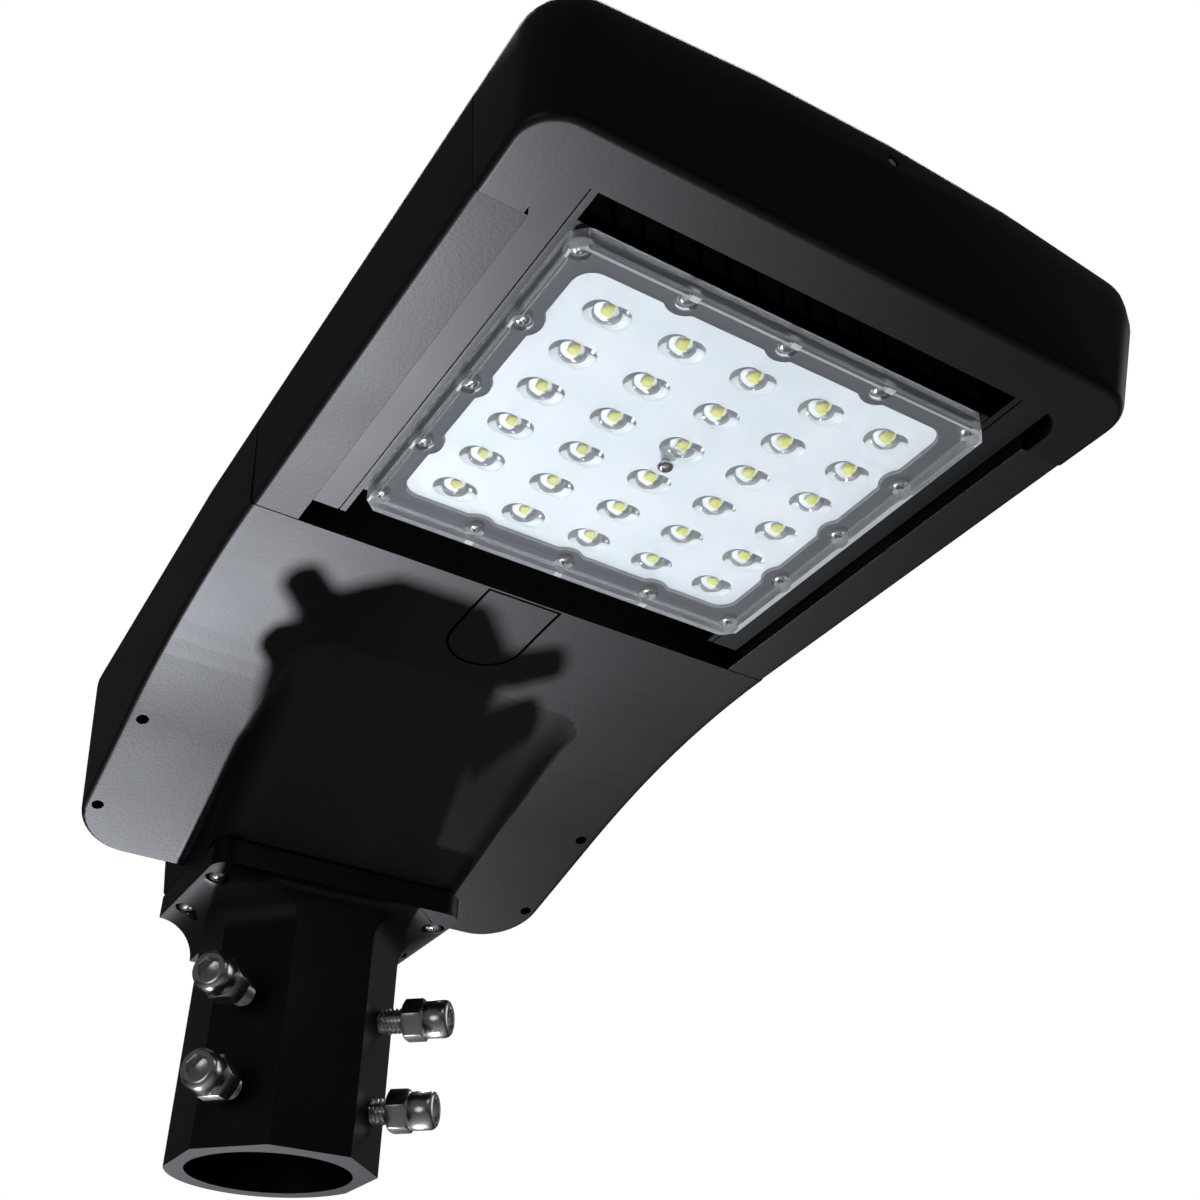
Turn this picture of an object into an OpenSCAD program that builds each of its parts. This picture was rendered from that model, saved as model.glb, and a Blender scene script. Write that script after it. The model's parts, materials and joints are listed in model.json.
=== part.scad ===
// Shoebox area light on a vertical slip fitter.
// Origin: centre of the fitter's mouth. +Z up, the light reaches forward along -Y.

/* [Slip fitter] */
// Outer diameter of the pole tenon that the fitter slides over
tenon_d = 60.3; // [58:0.1:61.5]
// Radial clearance between tenon and bore
tenon_gap = 0.6; // [0.3:0.1:1.5]
// Depth of the bore, from its mouth to the stop
socket_depth = 92; // [85:1:105]
// Web of metal above the stop
stop_web = 12.6; // [10:0.2:16]
// Wall of the tube at its side flats
side_wall = 5.25; // [5:0.25:7]
// Wall of the tube at its front flat
front_wall = 8.25; // [7.5:0.25:8.5]
// Wall of the tube at the clamp bolts and round the back
bolt_wall = 7.25; // [7:0.25:9]
// Width of the flange
flange_w = 102; // [99:1:108]
// Flange's reach in front of the tenon axis
flange_front = 44; // [42:0.5:48]
// Flange's reach behind the tenon axis
flange_back = 23; // [20:0.5:24]
// Thickness of the flange
flange_t = 8.8; // [8:0.2:10]
// Radius of the flange's front corners
flange_r = 8; // [4:0.5:12]
// Distance between the flange screws from front to back
flange_screw_y = 34.5; // [30:0.5:36]
// Radius of the wire hole through the stop web
wire_hole_r = 14; // [8:0.5:18]

/* [Clamp bolts] */
// Diameter of the clamp bolts' thread
bolt_d = 9.5; // [8:0.1:10]
// Radial clearance between thread and tapped hole
thread_gap = 0.06; // [0.02:0.01:0.1]
// Length of a clamp bolt under its head
bolt_len = 21.8; // [21:0.1:24]
// Angle of the clamp bolts to each side of the front
bolt_angle = 47; // [44:1:50]
// Height of the lower clamp bolts above the mouth
bolt_low_z = 20.6; // [15:0.2:25]
// Distance between the lower and the upper clamp bolts
bolt_pitch_z = 34; // [28:0.5:36]
// Distance from the tenon axis to the tips of the lower bolts
low_tip = 31.2; // [31:0.1:33]
// Distance from the tenon axis to the tips of the upper bolts
high_tip = 34.2; // [31:0.1:35]

/* [Neck] */
// Widening of the neck on each side, from the parting line to the housing
neck_flare = 5.5; // [3:0.5:8]
// Radius of the neck's front edges
neck_r = 9; // [4:0.5:12]
// Drop from the housing's underside to the parting line at the fitter
neck_drop = 46; // [40:1:55]
// Thickness of the neck's walls
neck_wall = 4; // [3:0.5:5]
// Slope of the neck's front, rise over run
neck_slope = 0.576; // [0.5:0.01:0.7]
// Neck's reach behind the tenon axis
neck_back = 25; // [23:0.5:30]

/* [Housing] */
// Width of the housing along its lower edge
housing_w = 197.2; // [190:1:205]
// Draft of the sides, from the lower edge out to the waist
side_draft = 2.2; // [1:0.1:3]
// Draft of the rear's lower edge, inwards from the housing's lower edge
rear_draft = 2.4; // [1:0.1:4]
// Height of the housing over the light panel
housing_h = 42; // [40:1:48]
// Radius of the top edges
top_r = 10; // [8:1:12]
// Thickness of the cast walls
cast_wall = 3; // [2.5:0.25:4]
// Fall of the top from the flat part to the rear end
top_fall = 12; // [6:1:13]
// Length of the flat part of the rear housing's top
flat_run = 45.6; // [30:1:60]
// Radius of the rear housing's curved underside
belly_r = 365; // [340:5:400]
// Angle at which the underside goes on straight
belly_angle = 18.5; // [16:0.5:20]
// Rear end of the underside, behind the tenon axis
rear_low_y = 3.2; // [0:0.5:8]
// Rear end of the waist, behind the tenon axis
rear_high_y = 9; // [8:0.5:12]
// Radius of the rear corners
rear_r = 22; // [18:1:26]
// Gap left at the joints between castings
seam = 0.4; // [0.2:0.05:0.6]

/* [Nose] */
// Length of the nose along the sides
nose_len = 43.5; // [40:0.5:46]
// Length of the nose's slope, from its lower front edge to the waist
nose_slope = 12; // [8:0.5:14]
// Height of the crease above the nose's lower face
crease_h = 25.6; // [20:0.5:28]
// Bow of the front edge over the nose's width
nose_bow = 4; // [0:0.5:5]
// Radius of the nose's lower corners
nose_r = 13; // [10:0.5:16]
// Width of the nose's frame in front of the panel opening
nose_frame_y = 16; // [14:0.5:20]
// Radius of the panel opening's corners
opening_r = 8.5; // [6:0.5:10]
// Step of the nose's lower face below the side strips
nose_step = 0.6; // [0.2:0.1:1]

/* [Light module] */
// Distance from the tenon axis forward to the middle of the light panel
panel_y = 265; // [264:0.5:266]
// Number of light sources across
led_cols = 5; // [3:1:5]
// Number of light sources from front to rear
led_rows = 6; // [4:1:6]
// Width of each strip of the housing beside the rails
strip_w = 15.6; // [15:0.1:17]
// Width of each rail of the heat sink
rail_w = 12.5; // [11:0.25:13]
// Gap between the lens panel and the nose
front_gap = 14.7; // [12:0.1:17]
// Gap between the lens panel and the rear housing
rear_gap = 19.2; // [18:0.1:22]
// Length of the lens panel
panel_l = 129.6; // [129:0.2:130]
// Chamfer of the lens panel's corners
panel_c = 4; // [2:0.5:5]
// Thickness of the lens panel's plate
plate_t = 3.1; // [2.8:0.1:3.4]
// Drop of the panel's rim below the plate
rim_drop = 2.2; // [1:0.1:3]
// Width of the panel's rim
rim_w = 2; // [1.5:0.1:2]
// Radius of a lens
lens_r = 5.6; // [5:0.1:6]
// Distance between the two centres of a lens
lens_twin = 4.6; // [3:0.1:6]
// Distance from the panel's edge to the panel screws along the sides
edge_x = 3.9; // [3.8:0.1:4.2]
// Distance from the panel's edge to the panel screws at the ends
edge_y = 5.2; // [5:0.1:5.6]
// Margin between the panel's edge and the white part of the board along the sides
margin_x = 8.3; // [8:0.1:9]
// Margin between the panel's edge and the white part of the board at the ends
margin_y = 9.8; // [9:0.1:11]
// Thickness of the board
board_t = 1.6; // [1:0.1:2]
// Size of a light source
chip = 3.5; // [2.5:0.1:5]
// Height of a light source
chip_h = 0.6; // [0.4:0.1:0.8]
// Thickness of the heat sink's base
base_t = 6; // [5:0.5:8]
// Number of fins
fins = 16; // [8:1:20]
// Thickness of a fin
fin_t = 1.8; // [1.2:0.1:2.4]
// Height of the fins above the base
fin_h = 25; // [15:1:26]

/* [Gear compartment] */
// Length of the driver, across the housing
driver_l = 150; // [120:1:160]
// Width of the driver
driver_w = 56; // [50:1:58]
// Height of the driver
driver_h = 27; // [20:1:28]
// Height of the gear tray above the neck's parting line
tray_h = 40.4; // [39:0.2:41]
// Thickness of the gear tray
tray_t = 1.5; // [1:0.1:2]
// Tenon axis to the rear tray screws
tray_screw_y1 = 18.5; // [18:0.5:20]
// Tenon axis to the front tray screws
tray_screw_y2 = 63.8; // [62:0.5:66]
// Width of the latch tab
tab_w = 26.4; // [22:0.2:30]
// Length of the latch tab
tab_l = 40.5; // [36:0.5:46]
// Groove round the latch tab
tab_gap = 1; // [0.8:0.1:1.5]
// Diameter of the hinge pins and of the latch pin
pin_d = 4; // [3:0.1:5]

/* [Hidden] */
$fn = 48;
e = 0.01;

// widths
waist_w = housing_w + 2 * side_draft;
rear_w = housing_w - 2 * rear_draft;
neck_w_low = flange_w - 1;
flange_screw_x = flange_w - 11.6;
rail_gap = 0.2;
strip_gap = 0.5;
panel_w = housing_w - 2 * (strip_w + strip_gap + rail_w + rail_gap);
screw_span_x = panel_w - 2 * edge_x;
screw_span_y = panel_l - 2 * edge_y;
board_w = panel_w - 2 * margin_x;
board_l = panel_l - 2 * margin_y;
led_pitch_x = board_w / (led_cols + 0.125);
led_pitch_y = board_l / (led_rows + 0.23);
tray_screw_x = rear_w - 8;

// heights
flange_top = socket_depth + stop_web;
gasket_t = 1;
neck_z = flange_top + gasket_t;
under_z = neck_z + neck_drop;
waist_z = under_z + housing_h - top_r;
top_z = under_z + housing_h;
led_z = under_z + 3;
rail_z = led_z + 1.8;
base_z = led_z + chip_h + board_t;
tray_z = neck_z + tray_h;

// stations along Y
nose_y = -(panel_y + panel_l / 2 + front_gap + nose_frame_y + nose_slope);
nose_seam = nose_y + nose_len;
rear_seam = -(panel_y - panel_l / 2 - rear_gap);
opening_y = nose_y + nose_slope + nose_frame_y;
flat_end = rear_seam + flat_run;
belly_end = rear_seam + belly_r * sin(belly_angle);
belly_z = under_z - belly_r * (1 - cos(belly_angle));
rear_low_z = belly_z - (rear_low_y - belly_end) * tan(belly_angle);

// tube and bolts
bore_r = tenon_d / 2 + tenon_gap;
tube_x = bore_r + side_wall;
tube_front = bore_r + front_wall;
facet = bore_r + bolt_wall;
head_h = 9.5;
nut_h = 8.3;
nut_af = 14.3;
head_r = 7.15;
hex_key = 7.9;

// light module
plate_top = led_z + 0.7;
plate_low = plate_top - plate_t;
rail_x0 = panel_w / 2 + rail_gap;
rail_x1 = rail_x0 + rail_w;
inner_x = rail_x1 + strip_gap;
rail_y0 = opening_y - 9;
rail_y1 = rear_seam - 6;
lug_l = 15;
screw_r = 1.9;
clear_r = screw_r + 0.15;
head_big = 3.4;
head_t = 2;
lug_h = 6;
drill = 30;

// gear compartment
front_rim = 5.4;
rim_t = 5.6;
bay_x = waist_w / 2 - rim_t;
bay_low_x = rear_w / 2 - cast_wall;
bay_front = rear_seam + seam / 2 + front_rim;
bay_back = rear_low_y - cast_wall;
split_gap = 0.3;
hinge_y = neck_back - 7.5;
hinge_z = waist_z - top_fall + 2.5;
hinge_x = 42;
hinge_len = 7.2;
knuckle_r = 4;
pin_gap = 0.06;
boss_top = hinge_z - 14;

// gear on the tray
tray_x = bay_x - 0.3;
tray_front = -98;
tray_back = bay_back - 4.2;
driver_y = -39;
driver_front = driver_y - driver_w / 2;
gear_y = -84;
block_x = tray_x - 44.9;
surge_x = -(tray_x - 39.9);
lead_z = 167;
lead_r = 1.2;
lead_side = 1.6;
surge_size = [50, 26, 22];
lead_x = surge_x + surge_size[0] / 2 + lead_side + lead_r + 0.2;
tray_top = tray_z + tray_t;

// latch
tab_y0 = rear_seam + 2;
tab_y1 = tab_y0 + tab_l;
tab_t = 2.6;
tab_rise = 14;
ear_x = tab_w / 2 + tab_gap + 0.4;
ear_t = 4;
latch_y = tab_y1 - tab_w / 2 + 6.7;
latch_z = under_z + 6.4;
boss_r = 3.6;
hook_w = 12;
hook_y = bay_front + 7;
hook_t = 3;
nose_tip_y = bay_front + 3;
nose_tip_z = latch_z + 19;
nose_t = 2.5;
leaf_t = 0.8;
leaf_y = nose_tip_y - 1.1 - leaf_t;
leaf_z = nose_tip_z - nose_t - 0.5 - leaf_t;
pad_z = top_z - cast_wall - 6.4;

// Maps a profile drawn in (y, z) to a solid that runs along X, centred
module along_x(w) { rotate([90, 0, 90]) linear_extrude(w, center = true) children(); }

// Maps a profile drawn in (x, z) to a solid that runs along Y
module along_y(y0, y1) { translate([0, y1, 0]) rotate([90, 0, 0]) linear_extrude(y1 - y0) children(); }

module box(x0, x1, y0, y1, z0, z1) { translate([x0, y0, z0]) cube([x1 - x0, y1 - y0, z1 - z0]); }

module both_sides() { children(); mirror([1, 0, 0]) children(); }

// Cylinder along X, centred on its length
module rod_x(r, len) { rotate([0, 90, 0]) cylinder(r = r, h = len, center = true); }

// Screw with its shank up from the origin and a cross-slotted head below it
module pan_screw(r, len, head, head_t) {
    slot = head * 0.24;
    cylinder(r = r, h = len);
    translate([0, 0, -head_t]) difference() {
        cylinder(r = head, h = head_t);
        for (a = [0, 90]) rotate([0, 0, a])
            translate([-head * 0.6, -slot / 2, -1]) cube([head * 1.2, slot, 1 + head_t / 2]);
    }
}

// Offsets of n things on a pitch, about their middle
function spread(n, pitch) = [for (i = [0:n - 1]) (i - (n - 1) / 2) * pitch];

// ---- slip fitter ----

module tube_section() {
    s = sin(bolt_angle);
    c = cos(bolt_angle);
    front_x = (facet - tube_front * c) / s;
    side_y = (facet - tube_x * s) / c;
    intersection() {
        union() {
            polygon([[-tube_x, e], [-tube_x, -side_y], [-front_x, -tube_front],
                [front_x, -tube_front], [tube_x, -side_y], [tube_x, e]]);
            intersection() {
                circle(facet);
                translate([-facet, 0]) square([2 * facet, facet]);
            }
        }
        translate([-tube_x, -2 * facet]) square([2 * tube_x, 4 * facet]);
    }
}

module flange_section(w, front, back, r) {
    translate([-w / 2, -front + r]) square([w, front + back - r]);
    translate([-w / 2 + r, -front]) square([w - 2 * r, front]);
    for (s = [-1, 1]) translate([s * (w / 2 - r), -front + r]) circle(r);
}

flange_low = flange_top - flange_t;
screw_y0 = -(flange_front - 16);
flange_xy = [for (s = [-1, 1], y = [screw_y0, screw_y0 + flange_screw_y]) [s * flange_screw_x / 2, y]];
seat_z = flange_low + 2;
pocket_r = 4.6;

// Room outside a concave blend of radius g, beyond a face at distance d along -Y
blend_top = flange_low - 0.05;
module blend_room(d, g) {
    far = 2 * flange_w;
    along_x(2 * far) {
        translate([-d - g, blend_top - g]) circle(g);
        translate([-far, -far]) square([far - d - g, far + blend_top]);
        translate([-far, -far]) square([far - d, far + blend_top - g]);
    }
}

// Concave blends from the tube's faces out to the flange
module gusset() {
    g = flange_w / 2 - tube_x;
    difference() {
        translate([0, 0, flange_low - g]) linear_extrude(g + 1)
            flange_section(flange_w, flange_front, flange_back, flange_r);
        for (s = [-1, 1]) {
            rotate([0, 0, 90 * s]) blend_room(tube_x, g);
            rotate([0, 0, bolt_angle * s]) blend_room(facet, g);
        }
        blend_room(tube_front, flange_front - tube_front);
        translate([0, 0, flange_low - g - 1]) cylinder(r = bore_r, h = g, $fn = 96);
    }
}

// Places a child that points along +X outwards on each bolt's line
module on_bolt(side, z) { translate([0, 0, z]) rotate([0, 0, -90 + side * bolt_angle]) children(); }

relief_r = 8.3;
relief_z = 15.6;
relief_angle = 63.3;
relief_depth = 2;
high_z = bolt_low_z + bolt_pitch_z;

module slip_fitter() color("#141416") difference() {
    union() {
        linear_extrude(flange_top) tube_section();
        translate([0, 0, flange_low]) linear_extrude(flange_t)
            flange_section(flange_w, flange_front, flange_back, flange_r);
        gusset();
    }
    translate([0, 0, -1]) cylinder(r = bore_r, h = socket_depth + 1, $fn = 96);
    cylinder(r = wire_hole_r, h = flange_top + 1);
    for (side = [-1, 1], z = [bolt_low_z, high_z]) on_bolt(side, z)
        rotate([0, 90, 0]) cylinder(r = bolt_d / 2 + thread_gap, h = facet + 10);
    for (p = flange_xy) translate([p[0], p[1], seat_z]) {
        cylinder(r = clear_r, h = flange_t);
        translate([0, 0, -14]) cylinder(r = pocket_r, h = 14);
    }
    // round relief in the bore's wall near the mouth
    translate([0, 0, relief_z]) rotate([0, 0, relief_angle]) rotate([0, 90, 0])
        cylinder(r = relief_r, h = bore_r + relief_depth);
}

module fitter_gasket() color("#202022") translate([0, 0, flange_top]) difference() {
    linear_extrude(gasket_t) flange_section(neck_w_low, flange_front - 1, flange_back, flange_r);
    translate([0, 0, -1]) cylinder(r = wire_hole_r + 2, h = 4);
    for (p = flange_xy) translate([p[0], p[1], -1]) cylinder(r = clear_r, h = 4);
}

module fitter_screws() color("silver") for (p = flange_xy)
    translate([p[0], p[1], seat_z]) pan_screw(screw_r, neck_z + 6 - seat_z, 3.6, 3);

module clamp_bolt(tip) {
    under = tip + bolt_len;
    rotate([0, 90, 0]) difference() {
        union() {
            translate([0, 0, tip]) cylinder(r = bolt_d / 2, h = bolt_len);
            translate([0, 0, under]) cylinder(r = head_r, h = head_h - 1);
            translate([0, 0, under + head_h - 1]) cylinder(r1 = head_r, r2 = head_r - 1, h = 1);
        }
        translate([0, 0, under + head_h - 5]) cylinder(d = hex_key / cos(30), h = 6, $fn = 6);
    }
}

module lock_nut(tip) {
    rotate([0, 90, 0]) translate([0, 0, tip + bolt_len - nut_h]) difference() {
        cylinder(d = nut_af / cos(30), h = nut_h, $fn = 6);
        translate([0, 0, -1]) cylinder(r = bolt_d / 2, h = nut_h + 2);
    }
}

module clamp_bolt_low_left() color("silver") on_bolt(-1, bolt_low_z) clamp_bolt(low_tip);
module clamp_bolt_low_right() color("silver") on_bolt(1, bolt_low_z) clamp_bolt(low_tip);
module clamp_bolt_high_left() color("silver") on_bolt(-1, high_z) clamp_bolt(high_tip);
module clamp_bolt_high_right() color("silver") on_bolt(1, high_z) clamp_bolt(high_tip);
module lock_nut_low_left() color("silver") on_bolt(-1, bolt_low_z) lock_nut(low_tip);
module lock_nut_low_right() color("silver") on_bolt(1, bolt_low_z) lock_nut(low_tip);
module lock_nut_high_left() color("silver") on_bolt(-1, high_z) lock_nut(high_tip);
module lock_nut_high_right() color("silver") on_bolt(1, high_z) lock_nut(high_tip);

// ---- rear housing and its cover ----

sky_z = top_z + 40;
far_y = 60;

// Everything above the underside of the rear housing, in (y, z), lifted by t
module above_belly(t) {
    r = belly_r + t;
    zc = under_z - belly_r;
    ye = rear_seam + r * sin(belly_angle);
    ze = zc + r * cos(belly_angle);
    difference() {
        polygon([[rear_seam - 1, zc + r], [rear_seam, zc + r], [ye, ze],
            [far_y, ze - (far_y - ye) * tan(belly_angle)], [far_y, sky_z], [rear_seam - 1, sky_z]]);
        translate([rear_seam, zc]) circle(r, $fn = 360);
    }
}

// Everything below the top of the rear housing, in (y, z), lowered by t
top_slope = top_fall / (rear_high_y - flat_end);
module below_top(t) {
    polygon([[rear_seam - 9, 0], [far_y, 0], [far_y, top_z - t - (far_y - flat_end) * top_slope],
        [flat_end, top_z - t], [rear_seam - 9, top_z - t]]);
}

// Plan of the rear end, in (x, y)
module rear_plan(half_w, front, back, r) {
    translate([-half_w, front]) square([2 * half_w, back - r - front]);
    translate([-half_w + r, front]) square([2 * (half_w - r), back - front]);
    for (s = [-1, 1]) translate([s * (half_w - r), back - r]) circle(r);
}

// Drafted outside of the rear housing and its cover, before the underside is cut
module rear_block() {
    y0 = rear_seam + seam / 2;
    low = neck_z - 6;
    hull() both_sides() {
        translate([rear_w / 2 - rear_r, rear_low_y - rear_r - 1, low]) cylinder(r = rear_r, h = e);
        translate([rear_w / 2 - 1, y0, low]) cube([1, 1, e]);
        translate([waist_w / 2 - rear_r, rear_high_y - rear_r, waist_z - top_fall])
            rotate_extrude() translate([rear_r - top_r, 0]) circle(top_r, $fn = 32);
        for (y = [y0, flat_end]) translate([waist_w / 2 - top_r, y, waist_z])
            rotate([-90, 0, 0]) cylinder(r = top_r, h = e);
    }
}

// Neck below the rear housing, inset by t on every side
module neck_block(t) {
    z0 = neck_z + t;
    r = neck_r - t;
    hull() for (z = [z0, boss_top - t]) {
        half = neck_w_low / 2 - t + (z - z0) * neck_flare / neck_drop;
        y = -(flange_front - 1) + 1.5 * t - (z - z0) / neck_slope;
        both_sides() translate([half - r, y + r, z]) cylinder(r = r, h = e, $fn = 32);
        translate([-half, neck_back - t - 1, z]) cube([2 * half, 1, e]);
    }
}

module tab_plan(grow) {
    r = tab_w / 2 + grow;
    translate([-r, tab_y0 - grow]) square([2 * r, tab_l - tab_w / 2 + grow]);
    translate([0, tab_y1 - tab_w / 2]) circle(r);
}

tray_xy = [for (s = [-1, 1], y = [tray_screw_y1, tray_screw_y2]) [s * tray_screw_x / 2, -y]];
tray_hole_r = 2.25;
tray_screw_r = 1.4;
tray_hole_h = 6;
function belly_at(y) = y < belly_end
    ? under_z - belly_r + sqrt(pow(belly_r, 2) - pow(y - rear_seam, 2))
    : belly_z - (y - belly_end) * tan(belly_angle);

module bay() intersection() {
    along_x(waist_w) intersection() {
        above_belly(cast_wall);
        translate([bay_front, 0]) square([bay_back - bay_front, sky_z]);
    }
    linear_extrude(sky_z) rear_plan(bay_x, bay_front, bay_back, rear_r - cast_wall);
    along_y(bay_front, bay_back) polygon([[-bay_low_x, 0], [bay_low_x, 0], [bay_x, tray_z],
        [bay_x, sky_z], [-bay_x, sky_z], [-bay_x, tray_z]]);
}

// Ring along the compartment's rim, in a groove of the given depth
groove_in = 1.5;
groove_w = 2.4;
groove_d = 1.6;
module rim_ring(gap) {
    r = rear_r - cast_wall;
    g0 = groove_in + gap;
    g1 = groove_in + groove_w - gap;
    intersection() {
        along_x(waist_w) difference() {
            below_top(top_r + gap);
            below_top(top_r + groove_d - gap);
        }
        linear_extrude(sky_z) difference() {
            rear_plan(bay_x + g1, bay_front - g1, bay_back + g1, r);
            rear_plan(bay_x + g0, bay_front - g0, bay_back + g0, r);
        }
    }
}

joint_x = housing_w / 2 - 7.6;
joint_z = [under_z + 11, under_z + 27];
vent_x = 50;
port_r = 5;

module hinge_ears() both_sides() for (s = [-1, 1]) {
    x = hinge_x + s * (hinge_len / 2 + seam + ear_t / 2);
    box(x - ear_t / 2, x + ear_t / 2, hinge_y - knuckle_r, hinge_y + knuckle_r, boss_top - 2, hinge_z);
    translate([x, hinge_y, hinge_z]) rod_x(knuckle_r, ear_t);
}

module rear_housing() color("#1c1c1f") difference() {
    union() {
        difference() {
            union() {
                intersection() {
                    rear_block();
                    along_x(2 * waist_w) intersection() {
                        above_belly(0);
                        below_top(top_r);
                    }
                }
                neck_block(0);
            }
            bay();
            neck_block(neck_wall);
        }
        // piers of the gear tray
        intersection() {
            along_x(2 * waist_w) above_belly(cast_wall / 2);
            for (p = tray_xy) translate([p[0], p[1], neck_z]) cylinder(r = 5, h = tray_h);
            rear_block();
        }
        // screw bosses above the fitter's flange
        intersection() {
            for (p = flange_xy) translate([p[0], p[1], neck_z]) cylinder(r = 5, h = 9);
            neck_block(0);
        }
        // lugs that carry the rear ends of the heat sink
        both_sides() box(rail_x0, rail_x1, rear_seam - lug_l, rear_seam + 2,
            rail_z + base_t, rail_z + base_t + lug_h);
        // ears of the latch pin
        both_sides() intersection() {
            box(ear_x, ear_x + ear_t, latch_y - 4, latch_y + 4, under_z - 4, latch_z + 4);
            along_x(waist_w) above_belly(cast_wall / 2);
        }
        hinge_ears();
    }
    translate([0, 0, neck_z - 1]) cylinder(r = wire_hole_r, h = neck_wall + 2);
    for (p = flange_xy) translate([p[0], p[1], neck_z - 1]) cylinder(r = screw_r, h = 8);
    for (p = tray_xy) translate([p[0], p[1], belly_at(p[1]) - 9]) {
        cylinder(r = tray_hole_r, h = 9 + tray_hole_h);
        cylinder(r = tray_screw_r, h = 60);
    }
    // opening of the latch tab
    translate([0, 0, under_z - 12]) linear_extrude(12 + tab_rise) tab_plan(tab_gap);
    translate([0, latch_y, latch_z]) rod_x(pin_d / 2, 2 * (ear_x + ear_t) + 1);
    both_sides() translate([hinge_x, hinge_y, hinge_z]) rod_x(pin_d / 2, hinge_len + 2 * ear_t + 4);
    both_sides() translate([rail_x0 + rail_w / 2, rail_y1 - 4.5, rail_z]) cylinder(r = clear_r, h = drill);
    rim_ring(0);
    // ports of the module leads and of the breather, and joint screws
    for (x = [lead_x, vent_x]) translate([x, bay_front + 1, lead_z]) rotate([90, 0, 0])
        cylinder(r = port_r, h = front_rim + 2);
    both_sides() for (z = joint_z) translate([joint_x, bay_front + 1, z]) rotate([90, 0, 0])
        cylinder(r = screw_r, h = front_rim + 2);
}

module cover_gasket() color("#303032") rim_ring(0.1);

module gear_cover() color("#1c1c1f") difference() {
    union() {
        difference() {
            rear_block();
            along_x(2 * waist_w) below_top(top_r - split_gap);
            intersection() {
                along_x(2 * waist_w) below_top(cast_wall);
                linear_extrude(sky_z) rear_plan(bay_x - 1, bay_front, bay_back - 1, rear_r - cast_wall);
            }
        }
        // hinge lugs
        both_sides() translate([hinge_x, 0, 0]) {
            translate([0, hinge_y, hinge_z]) rod_x(knuckle_r, hinge_len);
            box(-hinge_len / 2, hinge_len / 2, rear_high_y - 4, hinge_y, hinge_z - 1.6, hinge_z + 3.4);
        }
        // pad of the latch keeper
        box(-11.5, 11.5, leaf_y, leaf_y + 6, pad_z, top_z - cast_wall + 1);
    }
    both_sides() translate([hinge_x, hinge_y, hinge_z]) rod_x(pin_d / 2 + pin_gap, hinge_len + 4);
    for (x = keeper_x) translate([x, leaf_y + 3, pad_z - 1]) cylinder(r = 1, h = 5);
}

module hinge_pins() color("silver") both_sides()
    translate([hinge_x, hinge_y, hinge_z]) rod_x(pin_d / 2, hinge_len + 2 * (ear_t + seam));

// ---- latch ----

module latch_lever() color("#1c1c1f") difference() {
    union() {
        intersection() {
            translate([0, 0, under_z - 12]) linear_extrude(12 + tab_rise) tab_plan(0);
            along_x(waist_w) difference() {
                above_belly(0);
                above_belly(tab_t);
            }
        }
        translate([0, latch_y, latch_z]) rod_x(boss_r, 22);
        intersection() {
            box(-8, 8, latch_y - 3, latch_y + 3, under_z - 4, latch_z);
            along_x(waist_w) above_belly(tab_t / 2);
        }
        // hook arm, its nose and the rib behind it
        box(-hook_w / 2, hook_w / 2, hook_y, hook_y + hook_t, under_z + 1, nose_tip_z);
        box(-hook_w / 2, hook_w / 2, nose_tip_y, hook_y + 1, nose_tip_z - nose_t, nose_tip_z);
        box(-1.5, 1.5, hook_y + 1, latch_y, under_z + 1, latch_z - 1);
    }
    translate([0, latch_y, latch_z]) rod_x(pin_d / 2 + pin_gap, tab_w + 4);
    for (s = [-1, 1]) box(s * 6 - 2.6, s * 6 + 2.6, latch_y - 4.4, latch_y + 4.4, latch_z - 2.9, latch_z + 4);
}

module latch_pin() color("silver") translate([0, latch_y, latch_z])
    rod_x(pin_d / 2, 2 * (ear_x + ear_t));

module latch_spring() color("silver") for (s = [-1, 1]) translate([s * 6, latch_y, latch_z])
    difference() {
        rod_x(2.75, 4.6);
        rod_x(pin_d / 2, 6);
    }

keeper_x = [-8.8, 8.8];
module latch_keeper() color("silver") difference() {
    union() {
        box(-11, 11, leaf_y, leaf_y + 6, pad_z - leaf_t, pad_z);
        box(-6.5, 6.5, leaf_y, leaf_y + leaf_t, leaf_z, pad_z);
        box(-6.5, 6.5, leaf_y, hook_y - 0.8, leaf_z, leaf_z + leaf_t);
    }
    for (x = keeper_x) translate([x, leaf_y + 3, pad_z - 2]) cylinder(r = 1.15, h = 3);
}

module keeper_screws() color("silver") for (x = keeper_x)
    translate([x, leaf_y + 3, pad_z - leaf_t]) pan_screw(1, leaf_t + 3.5, 1.8, 1);

// ---- side housing and nose ----

// Cross-section over the light panel, in (x, z)
module outer_section(z0, half_w) {
    c = waist_w / 2 - top_r;
    polygon([[-half_w, z0], [half_w, z0], [waist_w / 2, waist_z], [c, top_z], [-c, top_z],
        [-waist_w / 2, waist_z]]);
    for (s = [-1, 1]) translate([s * c, waist_z]) circle(top_r);
}

roof_x = 74;
lip_w = 2.5;
lip_h = 14;
end_t = 3;
bar_l = 10;

module side_section() {
    c = waist_w / 2 - top_r;
    difference() {
        outer_section(under_z, housing_w / 2);
        for (s = [-1, 1]) polygon([for (p = [[inner_x + lip_w, under_z + cast_wall],
            [housing_w / 2 - cast_wall, under_z + cast_wall], [waist_w / 2 - cast_wall, waist_z],
            [c, top_z - cast_wall], [inner_x - 1, top_z - cast_wall], [inner_x - 1, under_z + lip_h],
            [inner_x + lip_w, under_z + lip_h]]) [s * p[0], p[1]]]);
        translate([-inner_x, under_z - 1]) square([2 * inner_x, housing_h - cast_wall + 1]);
        translate([-roof_x, under_z]) square([2 * roof_x, housing_h + 1]);
    }
}

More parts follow.
